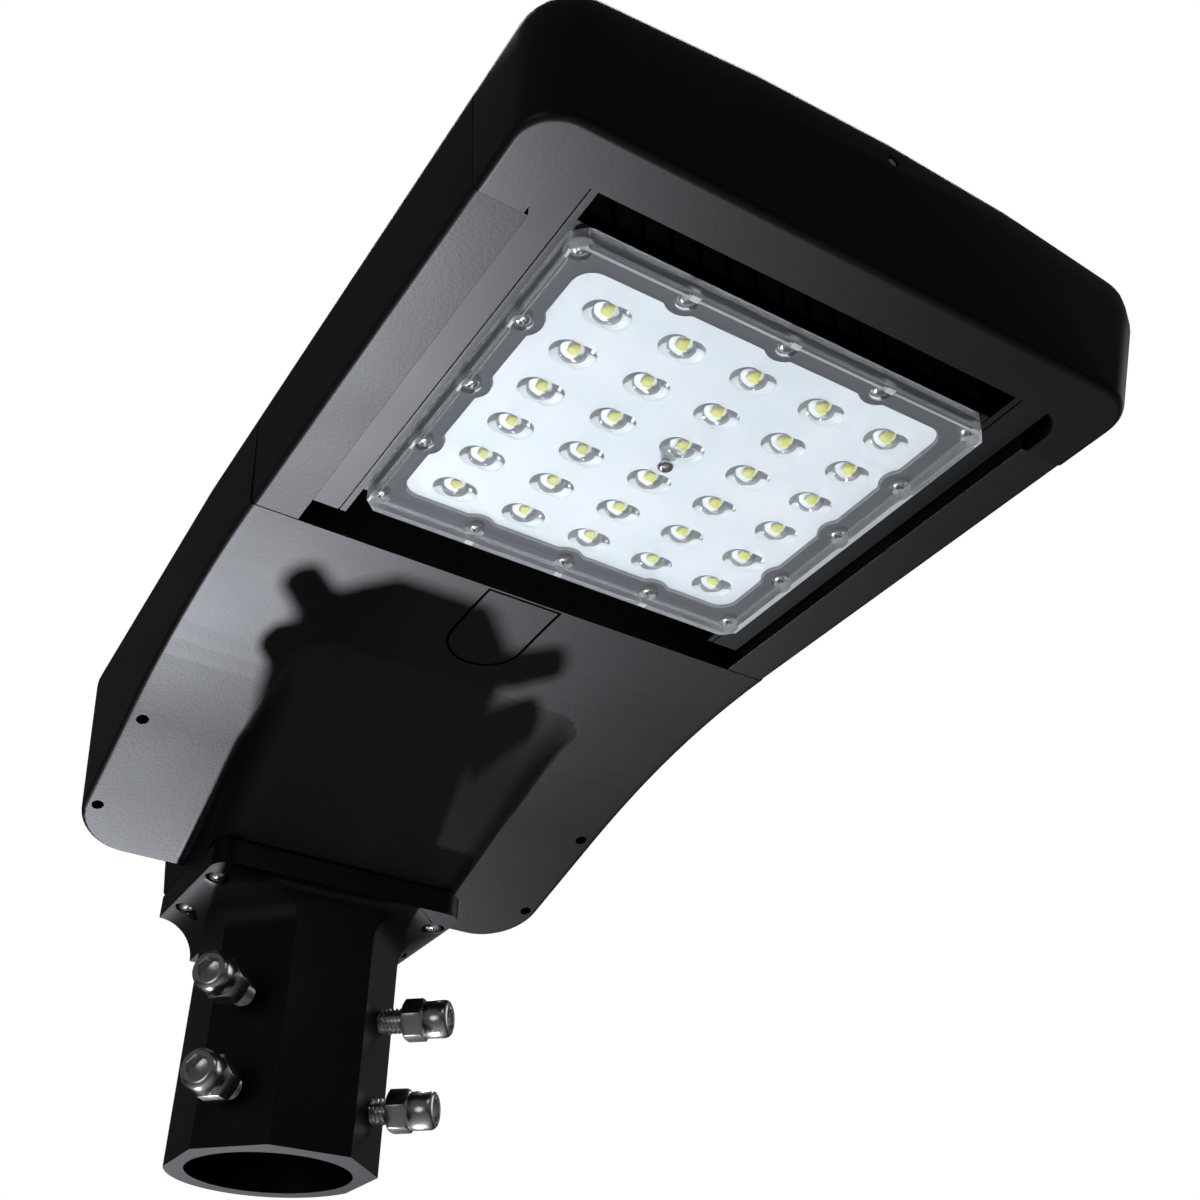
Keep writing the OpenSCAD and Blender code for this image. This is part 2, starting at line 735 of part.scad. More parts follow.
module side_housing() color("#1c1c1f") difference() {
    y0 = nose_seam + seam / 2;
    y1 = rear_seam - seam / 2;
    union() {
        along_y(y0, y1) side_section();
        for (y = [[y0, y0 + end_t], [y1 - end_t, y1]]) along_y(y[0], y[1]) difference() {
            outer_section(under_z, housing_w / 2);
            translate([-inner_x, under_z - 1]) square([2 * inner_x, housing_h - cast_wall + 1]);
        }
        for (y = [y0, y1 - bar_l])
            box(-roof_x - 1, roof_x + 1, y, y + bar_l, top_z - cast_wall, top_z);
    }
    both_sides() for (z = joint_z) translate([joint_x, y1 + 1, z]) rotate([90, 0, 0])
        cylinder(r = clear_r, h = y1 - y0 + 2);
}

joint_len = 8;
module nose_joint_screws() color("silver") both_sides() for (z = joint_z)
    translate([joint_x, nose_seam + seam / 2 + end_t, z]) rotate([90, 0, 0])
        pan_screw(screw_r, joint_len, head_big, head_t);

module rear_joint_screws() color("silver") both_sides() for (z = joint_z)
    translate([joint_x, rear_seam - seam / 2 - end_t, z]) rotate([-90, 0, 0])
        pan_screw(screw_r, joint_len, head_big, head_t);

nose_low = under_z - nose_step;
nose_low_y = nose_y + nose_slope;
waist_r = nose_r + 3;
nose_end = nose_seam - seam / 2;
arm_t = 6;

module nose_block() {
    half = waist_w / 2;
    hull() {
        both_sides() {
            translate([housing_w / 2 - nose_r, nose_low_y + nose_r, nose_low]) cylinder(r = nose_r, h = e);
            translate([housing_w / 2 - 1, nose_end - e, nose_low]) cube([1, e, e]);
            translate([half - top_r, nose_end - e, waist_z]) rotate([-90, 0, 0]) cylinder(r = top_r, h = e);
        }
        for (k = [-1, -0.5, 0, 0.5, 1]) translate([k * (half - waist_r), 0, 0]) {
            y = nose_y + nose_bow * k * k + waist_r;
            translate([0, y, nose_low + crease_h]) cylinder(r = waist_r, h = e, $fn = 32);
            translate([0, y, waist_z]) rotate_extrude($fn = 32) intersection() {
                translate([waist_r - top_r, 0]) circle(top_r, $fn = 24);
                translate([0, -top_r]) square([waist_r, 2 * top_r]);
            }
        }
    }
}

module nose_cavity() {
    t = cast_wall;
    front = nose_y + nose_bow + t;
    r = waist_r + 6;
    z0 = under_z + t;
    half = housing_w / 2 - t - 0.6;
    intersection() {
        along_x(waist_w) polygon([[nose_low_y + t, z0], [front, nose_low + crease_h],
            [front, top_z - t], [nose_end + 1, top_z - t], [nose_end + 1, z0]]);
        linear_extrude(sky_z) {
            translate([-half, front + r]) square([2 * half, nose_end - front]);
            translate([-half + r, front]) square([2 * (half - r), nose_end - front]);
            for (s = [-1, 1]) translate([s * (half - r), front + r]) circle(r);
        }
    }
}

frame_x = inner_x + 1.5;
screw_front_z = led_z + 26;
nose_screw_r = 1;
nose_head_r = 1.7;
nose_sink = 1.2;

module nose_frame() color("#161619") difference() {
    union() {
        difference() {
            nose_block();
            nose_cavity();
        }
        // ends that meet the side housing
        intersection() {
            nose_block();
            both_sides() box(frame_x, waist_w, nose_end - arm_t, nose_end, nose_low, top_z);
        }
        // pads under the front ends of the rails
        both_sides() box(rail_x0, rail_x1, rail_y0 - 1, opening_y - opening_r, under_z, rail_z);
        // boss of the front screw
        translate([0, nose_y + 2, screw_front_z]) rotate([-90, 0, 0]) cylinder(r = 4, h = 10);
    }
    // opening round the panel, from below
    translate([0, 0, nose_low - 1]) linear_extrude(under_z + cast_wall - nose_low + 2) {
        translate([-frame_x, opening_y + opening_r]) square([2 * frame_x, nose_len]);
        translate([-frame_x + opening_r, opening_y]) square([2 * (frame_x - opening_r), nose_len]);
        for (s = [-1, 1]) translate([s * (frame_x - opening_r), opening_y + opening_r]) circle(opening_r);
    }
    both_sides() for (z = joint_z) translate([joint_x, nose_seam, z]) rotate([90, 0, 0])
        cylinder(r = screw_r, h = arm_t + 2);
    both_sides() translate([rail_x0 + rail_w / 2, rail_screw_y, nose_low + 1]) cylinder(r = screw_r, h = 9);
    translate([0, nose_y - 1, screw_front_z]) rotate([-90, 0, 0]) {
        cylinder(r = nose_head_r + 0.2, h = 1 + nose_sink);
        cylinder(r = nose_screw_r, h = 12);
    }
}

module nose_screw() color("silver") translate([0, nose_y + nose_sink, screw_front_z])
    rotate([-90, 0, 0]) pan_screw(nose_screw_r, 8, nose_head_r, 0.8);

// ---- light module ----

led_xy = [for (x = spread(led_cols, led_pitch_x), y = spread(led_rows, led_pitch_y)) [x, y - panel_y]];
edge_xy = [for (i = [-2:2], j = [-2:2]) if (abs(i) == 2 || abs(j) == 2)
    [i * screw_span_x / 4, j * screw_span_y / 4 - panel_y]];
panel_screw_r = 1.25;
panel_head_r = 2.6;
panel_seat_z = plate_low + 1.7;
rail_screw_y = opening_y - 4.5;
fin_top = rail_z + base_t + fin_h;
module_y0 = -panel_y - panel_l / 2;
module_y1 = -panel_y + panel_l / 2;
fin_pitch = (2 * rail_x0 - 4) / (fins - 1);

module heat_sink() color("#2a2b2e") difference() {
    union() {
        both_sides() box(rail_x0 - e, rail_x1, rail_y0, rail_y1, rail_z, rail_z + base_t);
        box(-rail_x0, rail_x0, module_y0, module_y1, base_z, rail_z + base_t);
        for (x = spread(fins, fin_pitch))
            box(x - fin_t / 2, x + fin_t / 2, module_y0, module_y1, rail_z + base_t - 1, fin_top);
    }
    // groove along each rail
    both_sides() box(rail_x0 + 2, rail_x0 + 2.6, rail_y0 - 1, rail_y1 + 1, rail_z - 1, rail_z + 0.6);
    both_sides() translate([rail_x0 + rail_w / 2, rail_screw_y, rail_z - 1]) cylinder(r = clear_r, h = base_t + 2);
    both_sides() translate([rail_x0 + rail_w / 2, rail_y1 - 4.5, rail_z + 1]) cylinder(r = screw_r, h = base_t);
    for (p = edge_xy) translate([p[0], p[1], base_z - 1]) cylinder(r = panel_screw_r, h = 5);
    translate([0, -panel_y, base_z - 1]) cylinder(r = panel_screw_r, h = 5);
    translate([lead_x, lead_end_y, base_z - 1]) cylinder(r = 3.2, h = base_t + 2);
}

module heat_sink_screws() color("silver") both_sides() {
    translate([rail_x0 + rail_w / 2, rail_screw_y, rail_z + base_t]) rotate([180, 0, 0])
        pan_screw(screw_r, base_t + 4, head_big, head_t);
    translate([rail_x0 + rail_w / 2, rail_y1 - 4.5, rail_z + base_t + lug_h]) rotate([180, 0, 0])
        pan_screw(screw_r, lug_h + 4, head_big, head_t);
}

// Outline of the board's white face, grown by g and scalloped round the screws
module board_plan(g) {
    w = board_w + 2 * g;
    l = board_l + 2 * g;
    r = 6 + g;
    difference() {
        translate([0, -panel_y]) union() {
            square([w - 2 * r, l], center = true);
            square([w, l - 2 * r], center = true);
            for (i = [-1, 1], j = [-1, 1]) translate([i * (w / 2 - r), j * (l / 2 - r)]) circle(r);
        }
        for (p = edge_xy) translate(p) circle(6.5 - g);
    }
}

module panel_plan(inset) {
    w = panel_w / 2 - inset;
    l = panel_l / 2 - inset;
    c = panel_c - inset * 0.58;
    translate([0, -panel_y]) polygon([[-w + c, -l], [w - c, -l], [w, -l + c], [w, l - c], [w - c, l],
        [-w + c, l], [-w, l - c], [-w, -l + c]]);
}

module led_board() color("white") difference() {
    translate([0, 0, led_z + chip_h]) linear_extrude(board_t) board_plan(0);
    translate([0, -panel_y, led_z]) cylinder(r = panel_screw_r + 0.1, h = 5);
}

module led_chips() color("#e8dc3c") for (p = led_xy)
    translate([p[0] - chip / 2, p[1] - chip / 2, led_z]) cube([chip, chip, chip_h]);

module lens_panel() color("#dfe6ea", 0.5) difference() {
    union() {
        translate([0, 0, plate_low]) linear_extrude(plate_t) panel_plan(rim_w - 0.2);
        translate([0, 0, plate_low - rim_drop]) linear_extrude(base_z - plate_low + rim_drop - 0.3)
            difference() {
                panel_plan(0);
                panel_plan(rim_w);
            }
        intersection() {
            for (p = led_xy, s = [-1, 1])
                translate([p[0] + s * lens_twin / 2, p[1], led_z + 0.4]) sphere(lens_r, $fn = 32);
            box(-panel_w, panel_w, -2 * panel_y, 0, under_z - 10, plate_low + 0.1);
        }
    }
    translate([0, 0, led_z - 0.5]) linear_extrude(5) board_plan(0.4);
    for (p = edge_xy) translate([p[0], p[1], panel_seat_z]) {
        cylinder(r = panel_screw_r + 0.1, h = 5);
        translate([0, 0, -6]) cylinder(r = panel_head_r + 0.6, h = 6);
    }
    translate([0, -panel_y, plate_low - 1]) cylinder(r = panel_screw_r + 0.1, h = 5);
}

module lens_gasket() color("#4a4d52") difference() {
    translate([0, 0, plate_top]) linear_extrude(base_z - plate_top) difference() {
        panel_plan(rim_w + 0.1);
        board_plan(0.4);
    }
    for (p = edge_xy) translate([p[0], p[1], plate_top - 1]) cylinder(r = panel_screw_r, h = 5);
}

module lens_screws() color("silver") for (p = edge_xy)
    translate([p[0], p[1], panel_seat_z]) pan_screw(panel_screw_r, base_z + 3 - panel_seat_z, panel_head_r, 1.3);

module centre_screw() color("silver") translate([0, -panel_y, plate_low])
    pan_screw(panel_screw_r, base_z + 3 - plate_low, panel_head_r, 1.3);

// ---- gear ----

flange_l = 8;
foot_t = 2;
gear_screw_x = driver_l / 2 + 4.5;
block_size = [46, 20, 16];

module gear_tray() color("#b8bcc0") difference() {
    translate([0, 0, tray_z]) linear_extrude(tray_t)
        rear_plan(tray_x, tray_front, tray_back, rear_r - cast_wall);
    for (p = tray_xy) translate([p[0], p[1], tray_z - 1]) cylinder(r = tray_screw_r, h = 4);
    for (s = [-1, 1]) translate([s * gear_screw_x, driver_y, tray_z - 1]) cylinder(r = screw_r, h = 4);
    for (s = [-1, 1]) translate([surge_x + s * surge_screw, gear_y, tray_z - 1]) cylinder(r = screw_r, h = 4);
    for (s = [-1, 1]) translate([block_x + s * block_screw, gear_y, tray_z - 1]) cylinder(r = tray_screw_r, h = 4);
    translate([0, gear_y, tray_z - 1]) cylinder(r = screw_r, h = 4);
}

module tray_screws() color("silver") for (p = tray_xy)
    translate([p[0], p[1], belly_at(p[1]) + tray_hole_h])
        pan_screw(tray_screw_r, tray_z + tray_t - belly_at(p[1]) - tray_hole_h, 2.1, 1.6);

module driver() color("#d9d9d6") difference() {
    union() {
        translate([-driver_l / 2, driver_front, tray_top]) cube([driver_l, driver_w, driver_h]);
        translate([-driver_l / 2 - flange_l, driver_y - 12, tray_top]) cube([driver_l + 2 * flange_l, 24, foot_t]);
    }
    for (s = [-1, 1]) translate([s * gear_screw_x, driver_y, tray_top - 1]) cylinder(r = clear_r, h = 4);
}

module driver_screws() color("silver") for (s = [-1, 1])
    translate([s * gear_screw_x, driver_y, tray_top + foot_t]) rotate([180, 0, 0])
        pan_screw(screw_r, foot_t + 2 * tray_t, head_big, head_t);

surge_screw = surge_size[0] / 2 - 4;
surge_seat = 3;
module surge_protector() color("#2d4f8a") difference() {
    translate([surge_x - surge_size[0] / 2, gear_y - surge_size[1] / 2, tray_top]) cube(surge_size);
    for (s = [-1, 1]) translate([surge_x + s * surge_screw, gear_y, tray_top]) {
        translate([0, 0, -1]) cylinder(r = clear_r, h = drill);
        translate([0, 0, surge_seat]) cylinder(r = head_big + 0.4, h = drill);
    }
}

module surge_screws() color("silver") for (s = [-1, 1])
    translate([surge_x + s * surge_screw, gear_y, tray_top + surge_seat]) rotate([180, 0, 0])
        pan_screw(screw_r, surge_seat + 2 * tray_t, head_big, head_t);

poles = [-14, 0, 14];
block_screw = 7;
module terminal_block() color("#e6e2d4") difference() {
    translate([block_x - block_size[0] / 2, gear_y - block_size[1] / 2, tray_top]) cube(block_size);
    for (x = poles) translate([block_x + x, gear_y - 3, tray_top + block_size[2] - 6]) cylinder(r = 2.8, h = 7);
    for (x = poles) translate([block_x + x, gear_y - block_size[1], tray_top + 5]) rotate([-90, 0, 0])
        cylinder(r = 2.4, h = block_size[1] / 2 + 6);
    for (s = [-1, 1]) translate([block_x + s * block_screw, gear_y, tray_top - 1]) cylinder(r = tray_screw_r, h = drill);
}

module terminal_screws() color("silver") {
    for (x = poles) translate([block_x + x, gear_y - 3, tray_top + block_size[2] - 3]) rotate([180, 0, 0])
        pan_screw(1.4, 3, 2.6, 1.6);
    for (s = [-1, 1]) translate([block_x + s * block_screw, gear_y, tray_top + block_size[2]]) rotate([180, 0, 0])
        pan_screw(tray_screw_r, block_size[2] + 2.5, 2.4, 1.4);
}

module ground_screw() color("#3f8f4a") translate([0, gear_y, tray_top]) rotate([180, 0, 0])
    pan_screw(screw_r, 5, 4, 2.4);

module driver_leads() color("#c0392b") for (x = poles)
    translate([block_x + x, driver_front, tray_top + 7]) rotate([90, 0, 0])
        cylinder(r = 1.4, h = driver_front - gear_y - block_size[1] / 2);

lead_end_y = module_y1 - 6;
module module_leads() color("#a02020") for (s = [-1, 1]) translate([lead_x + s * lead_side, 0, 0]) {
    translate([0, driver_front, lead_z]) rotate([90, 0, 0]) cylinder(r = lead_r, h = driver_front - lead_end_y);
    translate([0, lead_end_y, lead_z]) sphere(lead_r);
    translate([0, lead_end_y, base_z]) cylinder(r = lead_r, h = lead_z - base_z);
}

module lead_grommet() color("#101010") translate([lead_x, bay_front, lead_z]) rotate([90, 0, 0]) difference() {
    union() {
        cylinder(r = port_r, h = front_rim);
        translate([0, 0, -1.6]) cylinder(r = port_r + 2, h = 1.6);
    }
    for (s = [-1, 1]) translate([s * lead_side, 0, -3]) cylinder(r = lead_r, h = front_rim + 6);
}

module breather_vent() color("#101010") translate([vent_x, bay_front, lead_z]) rotate([90, 0, 0]) {
    cylinder(r = port_r, h = front_rim);
    translate([0, 0, -3]) cylinder(r = port_r + 2.5, h = 3, $fn = 6);
}

module neck_grommet() color("#101010") translate([0, 0, neck_z]) difference() {
    union() {
        cylinder(r = wire_hole_r, h = neck_wall);
        translate([0, 0, neck_wall]) cylinder(r = wire_hole_r + 2.5, h = 2);
    }
    translate([0, 0, -1]) cylinder(r = wire_hole_r - 4, h = neck_wall + 4);
}

slip_fitter();
fitter_gasket();
fitter_screws();
clamp_bolt_low_left();
clamp_bolt_low_right();
clamp_bolt_high_left();
clamp_bolt_high_right();
lock_nut_low_left();
lock_nut_low_right();
lock_nut_high_left();
lock_nut_high_right();
rear_housing();
cover_gasket();
gear_cover();
hinge_pins();
side_housing();
nose_frame();
nose_screw();
nose_joint_screws();
rear_joint_screws();
heat_sink();
heat_sink_screws();
led_board();
led_chips();
lens_panel();
lens_gasket();
lens_screws();
centre_screw();
gear_tray();
tray_screws();
driver();
driver_screws();
surge_protector();
surge_screws();
terminal_block();
terminal_screws();
ground_screw();
driver_leads();
module_leads();
lead_grommet();
neck_grommet();
breather_vent();
latch_lever();
latch_pin();
latch_spring();
latch_keeper();
keeper_screws();
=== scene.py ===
import json
import math

import bmesh
import bpy
from mathutils import Matrix, Vector


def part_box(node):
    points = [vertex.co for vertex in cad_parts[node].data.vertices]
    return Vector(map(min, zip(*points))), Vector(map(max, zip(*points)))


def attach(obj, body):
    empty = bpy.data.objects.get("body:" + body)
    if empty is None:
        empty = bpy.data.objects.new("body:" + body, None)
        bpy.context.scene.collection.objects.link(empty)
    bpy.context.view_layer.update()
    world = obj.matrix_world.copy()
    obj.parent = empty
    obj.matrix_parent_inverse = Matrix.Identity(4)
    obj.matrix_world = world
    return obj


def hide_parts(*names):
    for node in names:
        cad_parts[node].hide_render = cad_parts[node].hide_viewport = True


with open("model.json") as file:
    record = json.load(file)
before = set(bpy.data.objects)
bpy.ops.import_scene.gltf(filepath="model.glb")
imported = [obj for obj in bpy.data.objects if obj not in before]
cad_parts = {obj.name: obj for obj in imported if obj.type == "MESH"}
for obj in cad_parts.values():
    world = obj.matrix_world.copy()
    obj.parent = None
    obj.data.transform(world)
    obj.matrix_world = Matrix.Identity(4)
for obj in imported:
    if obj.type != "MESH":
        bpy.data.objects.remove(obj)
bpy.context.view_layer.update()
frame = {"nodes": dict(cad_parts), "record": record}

bl_info = {
    "name": "Shoebox area light",
    "version": (1, 0, 0),
    "blender": (4, 5, 0),
    "location": "View3D > Sidebar > Area light",
    "description": "Dresses the packed area light with cast, moulded and plated finishes",
    "category": "Object",
}

MM = 0.001
WELD = 2e-6
PREFIX = "area_light."

# clamp bolts and their nuts
BOLT_ANGLE = math.radians(47)
SOCKET_TURN = math.radians(14)
BOLT_RADIUS = 4.75 * MM
HEAD_RADIUS = 7.15 * MM
HEAD_HEIGHT = 9.5 * MM
SOCKET_RADIUS = 4.56 * MM
NUT_RADIUS = 8.25 * MM

# the lower rim in plan, in metres; it lies below RIM_TOP, the nose screw's hole above it
RIM_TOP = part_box("nose_frame")[0].z + 20 * MM
RIM_SIDE_X, RIM_SIDE_END = 0.0955, -0.335
REAR_CORNER, REAR_CORNER_RADIUS = (0.0742, -0.0188), 0.0212
REAR_START, REAR_END = -0.019, 0.0025
NOSE_START, NOSE_CORNER_X, NOSE_SLANT = -0.3585, 0.0856, 1.6

# height of the panel's flat face above the tips of its lenses
LENS_FACE = 2.2 * MM


# ---- small tools ----

def deselect():
    if bpy.context.object and bpy.context.object.mode != "OBJECT":
        bpy.ops.object.mode_set(mode="OBJECT")
    bpy.ops.object.select_all(action="DESELECT")


def choose(*pieces):
    deselect()
    for piece in pieces:
        piece.select_set(True)
    bpy.context.view_layer.objects.active = pieces[0]


def settle(piece):
    """Puts a piece's place into its mesh."""
    choose(piece)
    bpy.ops.object.transform_apply(location=True, rotation=True, scale=True)


def modify(piece, kind, **settings):
    """Adds a modifier, sets it and applies it."""
    choose(piece)
    modifier = piece.modifiers.new(kind.title(), kind)
    for key, value in settings.items():
        setattr(modifier, key, value)
    bpy.ops.object.modifier_apply(modifier=modifier.name)


def smooth(piece, degrees=35):
    choose(piece)
    bpy.ops.object.shade_smooth_by_angle(angle=math.radians(degrees))


def round_edges(piece, width, segments=2, degrees=30):
    modify(piece, "BEVEL", width=width, segments=segments, limit_method="ANGLE",
           angle_limit=math.radians(degrees), use_clamp_overlap=True)


def join(*pieces):
    choose(*pieces)
    bpy.ops.object.join()
    return bpy.context.object


def even_normals(piece):
    """Lets the large flat faces lead the shading next to rounded edges."""
    modify(piece, "WEIGHTED_NORMAL", mode="FACE_AREA", weight=50, keep_sharp=True)


def soften(piece, width, segments=2, degrees=30, crease=35):
    """Rounds a piece's edges and shades it smooth between them."""
    round_edges(piece, width, segments, degrees)
    smooth(piece, crease)
    even_normals(piece)


def edit_mesh(piece, action="SELECT"):
    """Opens a mesh for editing, with all or none of it selected."""
    choose(piece)
    bpy.ops.object.mode_set(mode="EDIT")
    bpy.ops.mesh.select_all(action=action)


def leave_mesh():
    bpy.ops.object.mode_set(mode="OBJECT")


def cut(piece, tool, operation="DIFFERENCE"):
    """Boolean with a tool that is used up."""
    modify(piece, "BOOLEAN", object=tool, operation=operation, solver="EXACT")
    bpy.data.objects.remove(tool)


def turn_out(piece):
    """Merges a mesh and points its faces outwards."""
    edit_mesh(piece)
    bpy.ops.mesh.remove_doubles(threshold=WELD)
    bpy.ops.mesh.normals_make_consistent(inside=False)
    leave_mesh()


def profile(name, points):
    """An open line through (radius, height) points in the XZ plane."""
    deselect()
    bpy.ops.mesh.primitive_plane_add(size=MM)
    piece = bpy.context.object
    piece.name = name
    bpy.ops.object.mode_set(mode="EDIT")
    bpy.ops.mesh.merge(type="CENTER")
    steps = [(b[0] - a[0], b[1] - a[1]) for a, b in zip([(0, 0)] + points, points)]
    bpy.ops.transform.translate(value=(steps[0][0], 0, steps[0][1]))
    for across, up in steps[1:]:
        bpy.ops.mesh.extrude_region_move(TRANSFORM_OT_translate={"value": (across, 0, up)})
    return piece


def lathe(name, points, steps=32):
    """A round solid about Z from (radius, height) points that start and end on the axis."""
    piece = profile(name, points)
    bpy.ops.mesh.select_all(action="SELECT")
    bpy.ops.mesh.spin(steps=steps, angle=math.tau, center=(0, 0, 0), axis=(0, 0, 1))
    leave_mesh()
    turn_out(piece)
    return piece


def prism(sides, radius, low, high, turn=0.0):
    """A regular prism about Z between two heights."""
    deselect()
    bpy.ops.mesh.primitive_cylinder_add(vertices=sides, radius=radius, depth=high - low,
                                        location=(0, 0, (low + high) / 2), rotation=(0, 0, turn))
    settle(bpy.context.object)
    return bpy.context.object


def block(low, high):
    """A box between two corners."""
    deselect()
    size = [b - a for a, b in zip(low, high)]
    bpy.ops.mesh.primitive_cube_add(size=1, location=[(a + b) / 2 for a, b in zip(low, high)],
                                    scale=size)
    settle(bpy.context.object)
    return bpy.context.object


def threaded_rod(name, radius, depth, pitch, low, high):
    """A helical thread about Z, cut flat at both ends and closed."""
    piece = profile(name, [(radius - depth, low - 2 * pitch), (radius, low - 1.55 * pitch),
                           (radius, low - 1.45 * pitch), (radius - depth, low - pitch)])
    leave_mesh()
    modify(piece, "SCREW", axis="Z", angle=math.tau, screw_offset=pitch, steps=24,
           render_steps=24, iterations=int((high - low) / pitch) + 4, use_merge_vertices=True,
           merge_threshold=WELD)
    bpy.ops.object.mode_set(mode="EDIT")
    for height, side in ((low, {"clear_inner": True}), (high, {"clear_outer": True})):
        bpy.ops.mesh.select_all(action="SELECT")
        bpy.ops.mesh.bisect(plane_co=(0, 0, height), plane_no=(0, 0, 1), use_fill=True, **side)
    leave_mesh()
    turn_out(piece)
    return piece


def slice_mesh(piece, normal, stations):
    """Adds edge lines across a mesh where planes at the stations meet it."""
    for station in stations:
        edit_mesh(piece)
        bpy.ops.mesh.bisect(plane_co=[c * station for c in normal], plane_no=normal)
    leave_mesh()


def round_chosen(piece, test, radius, segments=4):
    """Rounds the edges whose middle point and two face normals pass a test."""
    edit_mesh(piece, "DESELECT")
    bpy.ops.mesh.select_mode(type="EDGE")
    work = bmesh.from_edit_mesh(piece.data)
    for edge in work.edges:
        if len(edge.link_faces) == 2:
            one, other = (face.normal for face in edge.link_faces)
            middle = (edge.verts[0].co + edge.verts[1].co) / 2
            edge.select_set(test(middle, one, other))
    bmesh.update_edit_mesh(piece.data)
    bpy.ops.mesh.bevel(offset=radius, segments=segments, affect="EDGES", clamp_overlap=False)
    bpy.ops.mesh.select_mode(type="VERT")
    leave_mesh()


def is_lower_rim(middle, one, other):
    """True on the long lower edge where the underside turns up into the sides."""
    down, side = (one, other) if one.z < other.z else (other, one)
    if down.z > -0.8 or abs(side.z) > 0.45 or middle.z > RIM_TOP:
        return False
    x, y = abs(middle.x), middle.y
    outward = middle.x * side.x > 0 and x > RIM_SIDE_X and y > RIM_SIDE_END
    corner = Vector((x - REAR_CORNER[0], y - REAR_CORNER[1]))
    rear = y > REAR_START and corner.length > REAR_CORNER_RADIUS or y > REAR_END
    front = side.y < 0.01 and y < NOSE_START + max(0, x - NOSE_CORNER_X) * NOSE_SLANT
    return outward or rear or front


def place(piece, matrix):
    piece.matrix_world = matrix
    settle(piece)


def twin(piece, matrix):
    """A copy with its own mesh, placed by a matrix."""
    other = piece.copy()
    other.data = piece.data.copy()
    bpy.context.scene.collection.objects.link(other)
    place(other, matrix)
    return other


def aim(point, direction):
    """The matrix that takes the origin to a point and +Z to a direction."""
    turn = Vector(direction).to_track_quat("Z", "Y").to_matrix().to_4x4()
    return Matrix.Translation(point) @ turn


def cad_copy(node, name):
    """A copy of a CAD node's mesh, merged, with its flat faces joined."""
    source = frame["nodes"][node]
    piece = source.copy()
    piece.data = source.data.copy()
    piece.name = name
    piece.parent = None
    for key in list(piece.keys()):
        del piece[key]
    bpy.context.scene.collection.objects.link(piece)
    piece.data.materials.clear()
    edit_mesh(piece)
    bpy.ops.mesh.remove_doubles(threshold=WELD)
    bpy.ops.mesh.dissolve_limited(angle_limit=math.radians(0.4))
    leave_mesh()
    return piece


def solids(node):
    """The corners of each solid in a CAD node."""
    work = bmesh.new()
    work.from_mesh(frame["nodes"][node].data)
    bmesh.ops.remove_doubles(work, verts=work.verts, dist=WELD)
    left = set(work.verts)
    found = []
    while left:
        stack = [left.pop()]
        group = []
        while stack:
            vert = stack.pop()
            group.append(vert.co.copy())
            for edge in vert.link_edges:
                other = edge.other_vert(vert)
                if other in left:
                    left.remove(other)
                    stack.append(other)
        low = Vector([min(co[i] for co in group) for i in range(3)])
        high = Vector([max(co[i] for co in group) for i in range(3)])
        found.append((low, high))
    work.free()
    return sorted(found, key=lambda pair: tuple(pair[0]))


def body_of(node):
    for body, members in frame["record"]["behaviour"]["bodies"].items():
        if node in members:
            return body
    raise RuntimeError(f"no body holds {node}")


def dress(piece, material, *nodes):
    """Finishes a piece that stands for CAD nodes: material, slot, body."""
    settle(piece)
    piece.data.materials.clear()
    for one in material if isinstance(material, (list, tuple)) else [material]:
        piece.data.materials.append(one)
    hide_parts(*nodes)
    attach(piece, body_of(nodes[0]))
    return piece


# ---- materials ----

# how far a pattern breaks up into finer grains, and broad clouds to a millimetre
BREAK_UP = 0.55
CLOUDS = 0.012


def linear(value):
    """Turns an sRGB hex colour into linear RGBA."""
    value = value.lstrip("#")
    channels = [int(value[i:i + 2], 16) / 255 for i in (0, 2, 4)]
    return tuple(c / 12.92 if c <= 0.04045 else ((c + 0.055) / 1.055) ** 2.4
                 for c in channels) + (1.0,)


def add(tree, kind, inputs=None, stops=(), **settings):
    """Adds a node with its settings, its inputs (values or outputs of others) and its stops."""
    node = tree.nodes.new("ShaderNode" + kind)
    for key, value in settings.items():
        setattr(node, key, value)
    for socket, value in (inputs or {}).items():
        if isinstance(value, bpy.types.NodeSocket):
            tree.links.new(value, node.inputs[socket])
        else:
            node.inputs[socket].default_value = value
    for i, (position, color) in enumerate(stops):
        element = node.color_ramp.elements[i]
        element.position, element.color = position, linear(color)
    return node


def new_material(name):
    material = bpy.data.materials.new(name)
    material.use_nodes = True
    material.node_tree.nodes.clear()
    return material, material.node_tree


def powder_coat(name, dark, light, grit, bump, roughness, shine=0.43):
    """Baked powder coat on a die casting: satin, with a fine sprayed grit."""
    material, tree = new_material(name)
    spot = add(tree, "TexCoord").outputs["Object"]
    fine = add(tree, "TexNoise", {"Vector": spot, "Scale": grit / MM, "Detail": 3.0,
               "Roughness": BREAK_UP}).outputs["Fac"]
    broad = add(tree, "TexNoise", {"Vector": spot, "Scale": CLOUDS / MM, "Detail": 2.0,
                "Roughness": BREAK_UP}).outputs["Fac"]
    color = add(tree, "ValToRGB", {"Fac": fine}, [(0.3, dark), (0.7, light)])
    gloss = add(tree, "MapRange", {"Value": broad, "To Min": roughness - 0.06,
                "To Max": roughness + 0.07})
    raised = add(tree, "Bump", {"Strength": bump, "Distance": 0.12 * MM, "Height": fine})
    shader = add(tree, "BsdfPrincipled", {
        "Base Color": color.outputs["Color"], "Roughness": gloss.outputs["Result"],
        "Specular IOR Level": shine, "Normal": raised.outputs["Normal"]})
    add(tree, "OutputMaterial", {"Surface": shader.outputs["BSDF"]})
    return material


